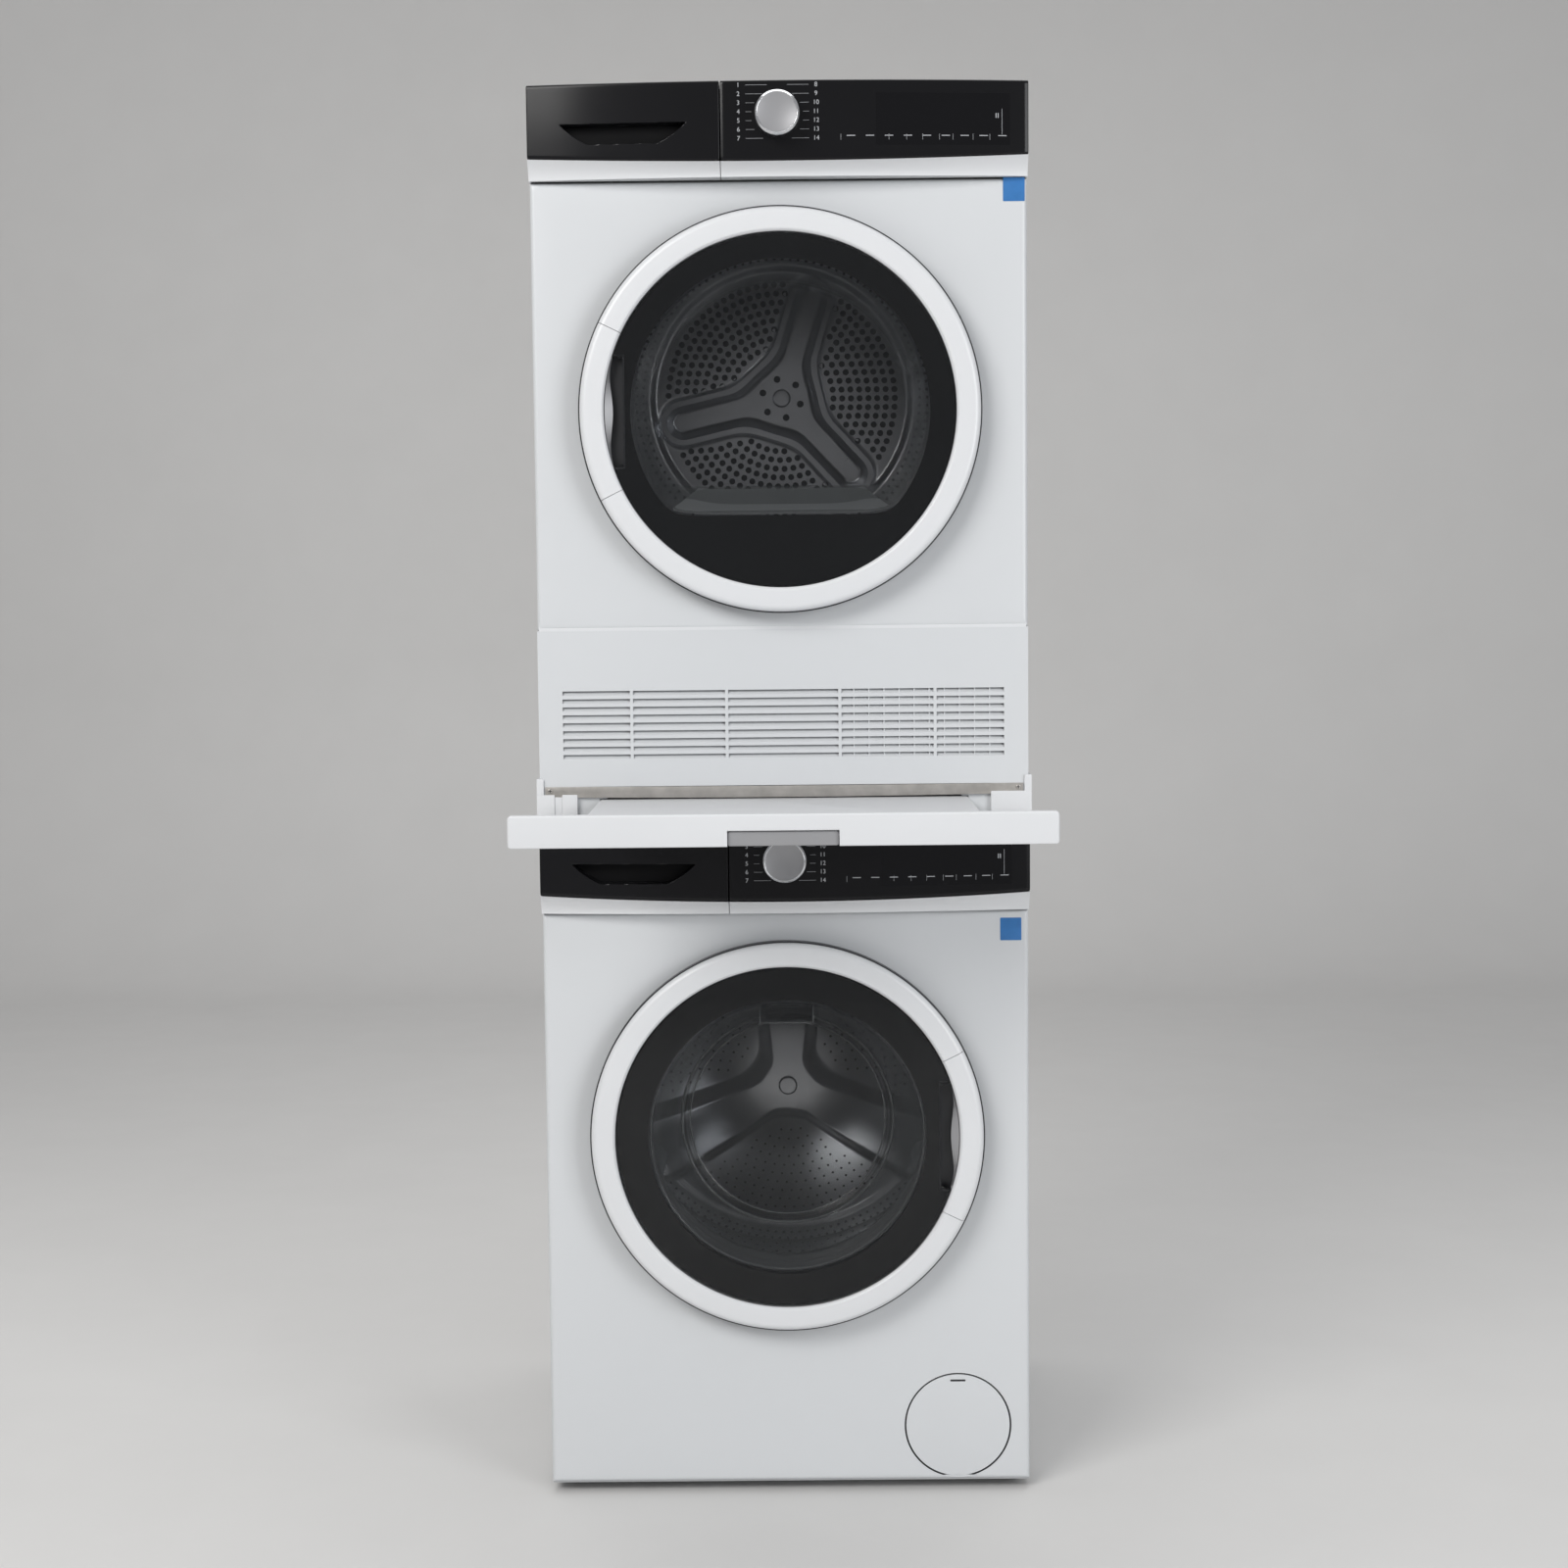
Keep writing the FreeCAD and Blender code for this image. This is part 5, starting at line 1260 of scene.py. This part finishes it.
class StackFrame:
    """The frame's visible front: end caps, cross strip and screws."""

    bow: float = 0.0022
    hang: float = 0.0030

    def build(self) -> None:
        """Build the caps, the strip and the screws."""
        self.strip()
        self.caps()
        self.screws()

    def strip(self) -> None:
        """The cross strip, hanging a little lower in the middle: z = z0 - b (1 - (x / w)^2)."""
        low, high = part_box("frame_cross_strip")
        x = np.linspace(low.x, high.x, 80)
        sag = self.bow * (1 - (x / high.x) ** 2)
        section = rounded([(low.y, low.z), (high.y, low.z), (high.y, high.z), (low.y, high.z)],
                          [0.0004] * 4, 3)
        depth, level = section[:, 0][None], section[:, 1][None]
        drop = np.where(level < (low.z + high.z) / 2, sag[:, None] + self.hang, sag[:, None] * 0.25)
        grid = np.stack(np.broadcast_arrays(x[:, None], depth, level - drop), axis=-1)
        Piece("cross_strip").surface(grid, caps=True).finish("cabinet", Finishes.zinc, ("frame_cross_strip",))

    def caps(self) -> None:
        """The two end caps, the left one slotted."""
        low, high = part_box("frame_end_caps")
        inner = high.x - 0.050
        shoulder = high.z - 0.0195
        piece = Piece("end_caps")
        for sign in (-1, 1):
            ends = sorted((sign * inner, sign * high.x))
            body_low, body_high = Vector((ends[0], low.y, low.z)), Vector((ends[1], high.y, shoulder))
            if sign < 0:
                slot = (-0.2805, -0.2715)
                for start, stop in ((ends[0], slot[0]), (slot[1], ends[1])):
                    piece.surface(slab(Vector((start, low.y, low.z)), Vector((stop, high.y, shoulder)), 0.0008, 0.001),
                                  caps=True)
                piece.surface(slab(Vector((slot[0] - 0.0002, low.y + 0.0015, low.z)),
                                   Vector((slot[1] + 0.0002, high.y, shoulder)), 0.0004), caps=True)
            else:
                piece.surface(slab(body_low, body_high, 0.0008, 0.0015), caps=True)
            horn = sorted((sign * (high.x - 0.009), sign * high.x))
            piece.surface(slab(Vector((horn[0], low.y, shoulder - 0.001)), Vector((horn[1], high.y, high.z)),
                               0.0008, 0.0012), caps=True)
        piece.finish("cabinet", Finishes.moulding, ("frame_end_caps",))

    def screws(self) -> None:
        """The strip's two cross-head screws, their cross recesses painted dark as shade."""
        low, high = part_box("frame_screws")
        height = (low.z + high.z) / 2
        radius = (high.z - low.z) / 2
        head, cross = Piece("strip_screws"), Piece("strip_screw_cross_shade")
        for sign in (-1, 1):
            centre = (sign * (high.x - radius), height)
            dome = rounded([(0.0, low.y), (radius - 0.0004, low.y + 0.0004), (radius, low.y + 0.0012),
                            (radius, high.y), (0.0, high.y)], [0.0, 0.0003, 0.0003, 0.0001, 0.0], 4)
            head.surface(turned(dome, centre, 40), close_rows=True)
            for long, wide in ((0.0021, 0.0004), (0.0004, 0.0021)):
                cross.surface(slab(Vector((centre[0] - long, low.y - 0.00005, centre[1] - wide)),
                                   Vector((centre[0] + long, low.y + 0.0006, centre[1] + wide)), 0.00005), caps=True)
        head.finish("cabinet", Finishes.zinc, ("frame_screws",))
        # dark crosses: painted shade in the screw recesses
        cross.finish("cabinet", Finishes.hollow_shade, slot="frame_screws")


class Base:
    """The dryer's plinth louvres, the washer's hatch and the feet."""

    def build(self) -> None:
        """Build the louvres, the hatch and the feet."""
        self.louvres()
        self.hatch()
        self.feet()
        self.top_seam()

    def louvres(self) -> None:
        """Sloped slats behind the plinth's slots, and thin upright ribs behind the right block."""
        low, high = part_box("dryer_plinth_panel")
        back = high.y
        slats = Piece("plinth_slats")
        for row in range(9):
            z = 0.919 + 0.0097 * row
            corners = np.array([(low.y + 0.0006, z - 0.0003), (low.y + 0.0022, z - 0.0003),
                                (low.y + 0.0112, z + 0.0088), (low.y + 0.0096, z + 0.0088)])
            loops = []
            for x in (-0.269, 0.269):
                loops.append(np.column_stack([np.full(4, x), np.minimum(corners[:, 0], back + 0.01), corners[:, 1]]))
            slats.surface(np.stack(loops), caps=True)
        slats.finish("cabinet", Finishes.enamel, slot="dryer_plinth_panel", crease=20)
        ribs = Piece("plinth_ribs")
        for x in np.arange(0.086, 0.262, 0.0184):
            ribs.surface(slab(Vector((x - 0.0008, low.y + 0.002, 0.916)), Vector((x + 0.0008, low.y + 0.012, 1.004)),
                              0.0002), caps=True)
        ribs.finish("cabinet", Finishes.enamel, slot="dryer_plinth_panel")

    def hatch(self) -> None:
        """The round hatch, its coin slot painted dark as shade, and a dark ring of painted shadow in the gap round it.
        """
        low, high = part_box("pump_hatch")
        centre = ((low.x + high.x) / 2, (low.z + high.z) / 2)
        radius = (high.x - low.x) / 2
        disc = rounded([(0.0, low.y), (radius - 0.001, low.y), (radius - 0.0009, high.y), (0.0, high.y)],
                       [0.0, 0.0007, 0.0002, 0.0], 5)
        Piece("hatch_disc").surface(turned(disc, centre, 160), close_rows=True).finish(
            "hatch", Finishes.enamel, ("pump_hatch",))
        slot_z = high.z - 0.0085
        slot_low = Vector((centre[0] - 0.0095, low.y - 0.0002, slot_z - 0.00125))
        slot_high = Vector((centre[0] + 0.0095, high.y - 0.0004, slot_z + 0.00125))
        # dark slab: painted shade in the coin slot
        Piece("hatch_slot_shade").surface(slab(slot_low, slot_high, 0.0001, 0.0008), caps=True).finish(
            "hatch", Finishes.hollow_shade, slot="pump_hatch")
        gap = np.array([(radius + 0.0001, low.y + 0.0005), (radius + 0.0009, low.y + 0.0005),
                        (radius + 0.0009, low.y + 0.0010), (radius + 0.0001, low.y + 0.0010)])
        # dark ring: painted shadow in the gap round the hatch
        Piece("hatch_gap_shade").surface(turned(gap, centre, 160), close_rows=True).finish(
            "cabinet", Finishes.hollow_shade, slot="washer_front_panel")

    def feet(self) -> None:
        """Four tapered feet with a rounded tread."""
        low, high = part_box("washer_feet")
        piece = Piece("feet")
        widest = 0.017
        for x in (low.x + widest, high.x - widest):
            for y in (low.y + widest, high.y - widest):
                profile = rounded([(0.0, low.z), (0.0105, low.z), (widest, high.z - 0.001), (widest, high.z),
                                   (0.0, high.z)], [0.0, 0.0015, 0.0008, 0.0004, 0.0], 4)
                angles = np.linspace(0, 2 * math.pi, 48, endpoint=False)
                grid = np.stack([np.column_stack([x + profile[:, 0] * math.cos(a), y + profile[:, 0] * math.sin(a),
                                                  profile[:, 1]]) for a in angles])
                piece.surface(grid, close_rows=True)
        piece.finish("cabinet", Finishes.rubber, ("washer_feet",))

    def top_seam(self) -> None:
        """The plinth's upper edge: a light strip behind the seam under the dryer's front."""
        low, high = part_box("dryer_plinth_panel")
        Piece("plinth_seam").surface(slab(Vector((low.x + 0.002, low.y + 0.0009, high.z - 0.0040)),
                                          Vector((high.x - 0.002, low.y + 0.0060, high.z + 0.0050)), 0.0002),
                                     caps=True).finish("cabinet", Finishes.moulding, slot="dryer_plinth_panel")


# ---------------------------------------------------------------- studio


@dataclass
class Studio:
    """A pale floor, soft area lights and the camera."""

    target: Vector = field(default_factory=lambda: Vector((0.0, 0.0, 0.86)))

    def build(self) -> None:
        """Build everything that isn't the machine."""
        self.world()
        bpy.context.scene.view_settings.view_transform = "Standard"
        floor = self.floor()
        self.lights()
        self.camera()

    def world(self) -> None:
        """An even pale surrounding light."""
        world = bpy.data.worlds.new("studio_world")
        bpy.context.scene.world = world
        world.use_nodes = True
        background = world.node_tree.nodes["Background"]
        background.inputs["Color"].default_value = (0.84, 0.84, 0.855, 1.0)
        background.inputs["Strength"].default_value = 0.42

    def floor(self) -> bpy.types.Object:
        """A pale floor that curves up into a wall behind the machine."""
        reach, bend, sweep = 6.0, 3.6, 0.9
        profile = [(-reach, FLOOR_LEVEL), (bend, FLOOR_LEVEL)]
        profile += [(bend + sweep * math.sin(a), sweep - sweep * math.cos(a) + FLOOR_LEVEL)
                    for a in np.radians(np.linspace(6, 90, 15))]
        profile.append((bend + sweep, reach))
        points = [(at, y, z) for at in (-reach, reach) for y, z in profile]
        count = len(profile)
        faces = [(k, k + 1, count + k + 1, count + k) for k in range(count - 1)]
        mesh = bpy.data.meshes.new("studio_floor")
        mesh.from_pydata(points, [], faces)
        mesh.shade_smooth()
        mesh.materials.append(Finish("studio_floor", (0.66, 0.655, 0.645), 0.6, mottle=0.01).material())
        floor = bpy.data.objects.new("studio_floor", mesh)
        bpy.context.scene.collection.objects.link(floor)
        return floor

    def lights(self) -> list[bpy.types.Object]:
        """A broad key from the upper left, a fill from the right and a rim from behind."""
        plan = (("key", (-2.3, -3.4, 3.3), 2.4, 1.8, 128.0, (1.0, 0.99, 0.975)),
                ("fill", (2.7, -3.2, 1.6), 1.8, 2.2, 66.0, (0.96, 0.98, 1.0)),
                ("top", (0.0, 0.6, 3.8), 3.0, 2.4, 52.0, (1.0, 1.0, 1.0)))
        made = []
        for name, place, wide, tall, power, colour in plan:
            lamp = bpy.data.lights.new(f"studio_{name}", "AREA")
            lamp.shape, lamp.size, lamp.size_y = "RECTANGLE", wide, tall
            lamp.energy, lamp.color = power, colour
            light = bpy.data.objects.new(f"studio_{name}", lamp)
            light.location = place
            aim = self.target - Vector(place)
            light.rotation_euler = aim.to_track_quat("-Z", "Y").to_euler()
            bpy.context.scene.collection.objects.link(light)
            made.append(light)
        return made

    def camera(self) -> bpy.types.Object:
        """The camera: three metres in front, a little above the middle, turned down and barely rolled."""
        yaw, pitch, roll = math.radians(-0.25), math.radians(4.59), math.radians(-0.58)
        forward = Vector((math.sin(yaw) * math.cos(pitch), math.cos(yaw) * math.cos(pitch), -math.sin(pitch)))
        level = Vector((math.cos(yaw), -math.sin(yaw), 0.0))
        upright = level.cross(forward)
        right = level * math.cos(roll) + upright * math.sin(roll)
        up = right.cross(forward)
        frame = Matrix((right, up, -forward)).transposed().to_4x4()
        frame.translation = Vector((0.013, -3.1055, 1.127))
        data = bpy.data.cameras.new("studio_camera")
        data.lens, data.sensor_width = 56.54, 36.0
        data.clip_start, data.clip_end = 0.05, 40.0
        camera = bpy.data.objects.new("studio_camera", data)
        bpy.context.scene.collection.objects.link(camera)
        camera.matrix_world = frame
        bpy.context.scene.camera = camera
        return camera


def dress(nodes: dict) -> None:
    """Give every carried-over node its finish.

    Args:
        nodes: The frame's objects by node name.
    """
    for name, shape in nodes.items():
        for slot in shape.material_slots:
            slot.link = "OBJECT"
            slot.material = finish_of(name).material()


def main() -> None:
    """Load the frame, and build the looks."""
    logging.basicConfig(level=logging.INFO, format="%(message)s")
    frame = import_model()
    dress(frame["nodes"])
    washer = Machine("washer", HingeSide.LEFT)
    dryer = Machine("dryer", HingeSide.RIGHT)
    for machine in (washer, dryer):
        machine.build()
    WasherDoor(washer).build()
    DryerDoor(dryer).build()
    Drum("washer", arms=(90.0, 209.0, 331.0), lifter_angles=(90.0, 210.0, 330.0), lifter_height=0.045,
         lifter_half_width=0.030, hole_radius=0.0017, hole_pitch=0.013, hub_radius=0.024, arm_half=0.024,
         arm_spread=0.026, arm_reach=0.225, field_radius=0.205, shaft=0.048, star_rise=0.032, groove=0.0,
         rim_step=0.006, flank=0.018, dimples=0, dome=0.075).build()
    Drum("dryer", arms=(73.0, 193.0, 313.0), lifter_angles=(90.0, 210.0, 330.0), lifter_height=0.050,
         lifter_half_width=0.023, hole_radius=0.0043, hole_pitch=0.0122, hub_radius=0.040, arm_half=0.017,
         arm_spread=0.0, arm_reach=0.158, field_radius=0.170, shaft=0.024,
         star_rise=0.011, groove=0.009).build()
    Gasket().build()
    Shelf().build()
    StackFrame().build()
    Base().build()
    Studio().build()


if __name__ == "__main__":
    main()
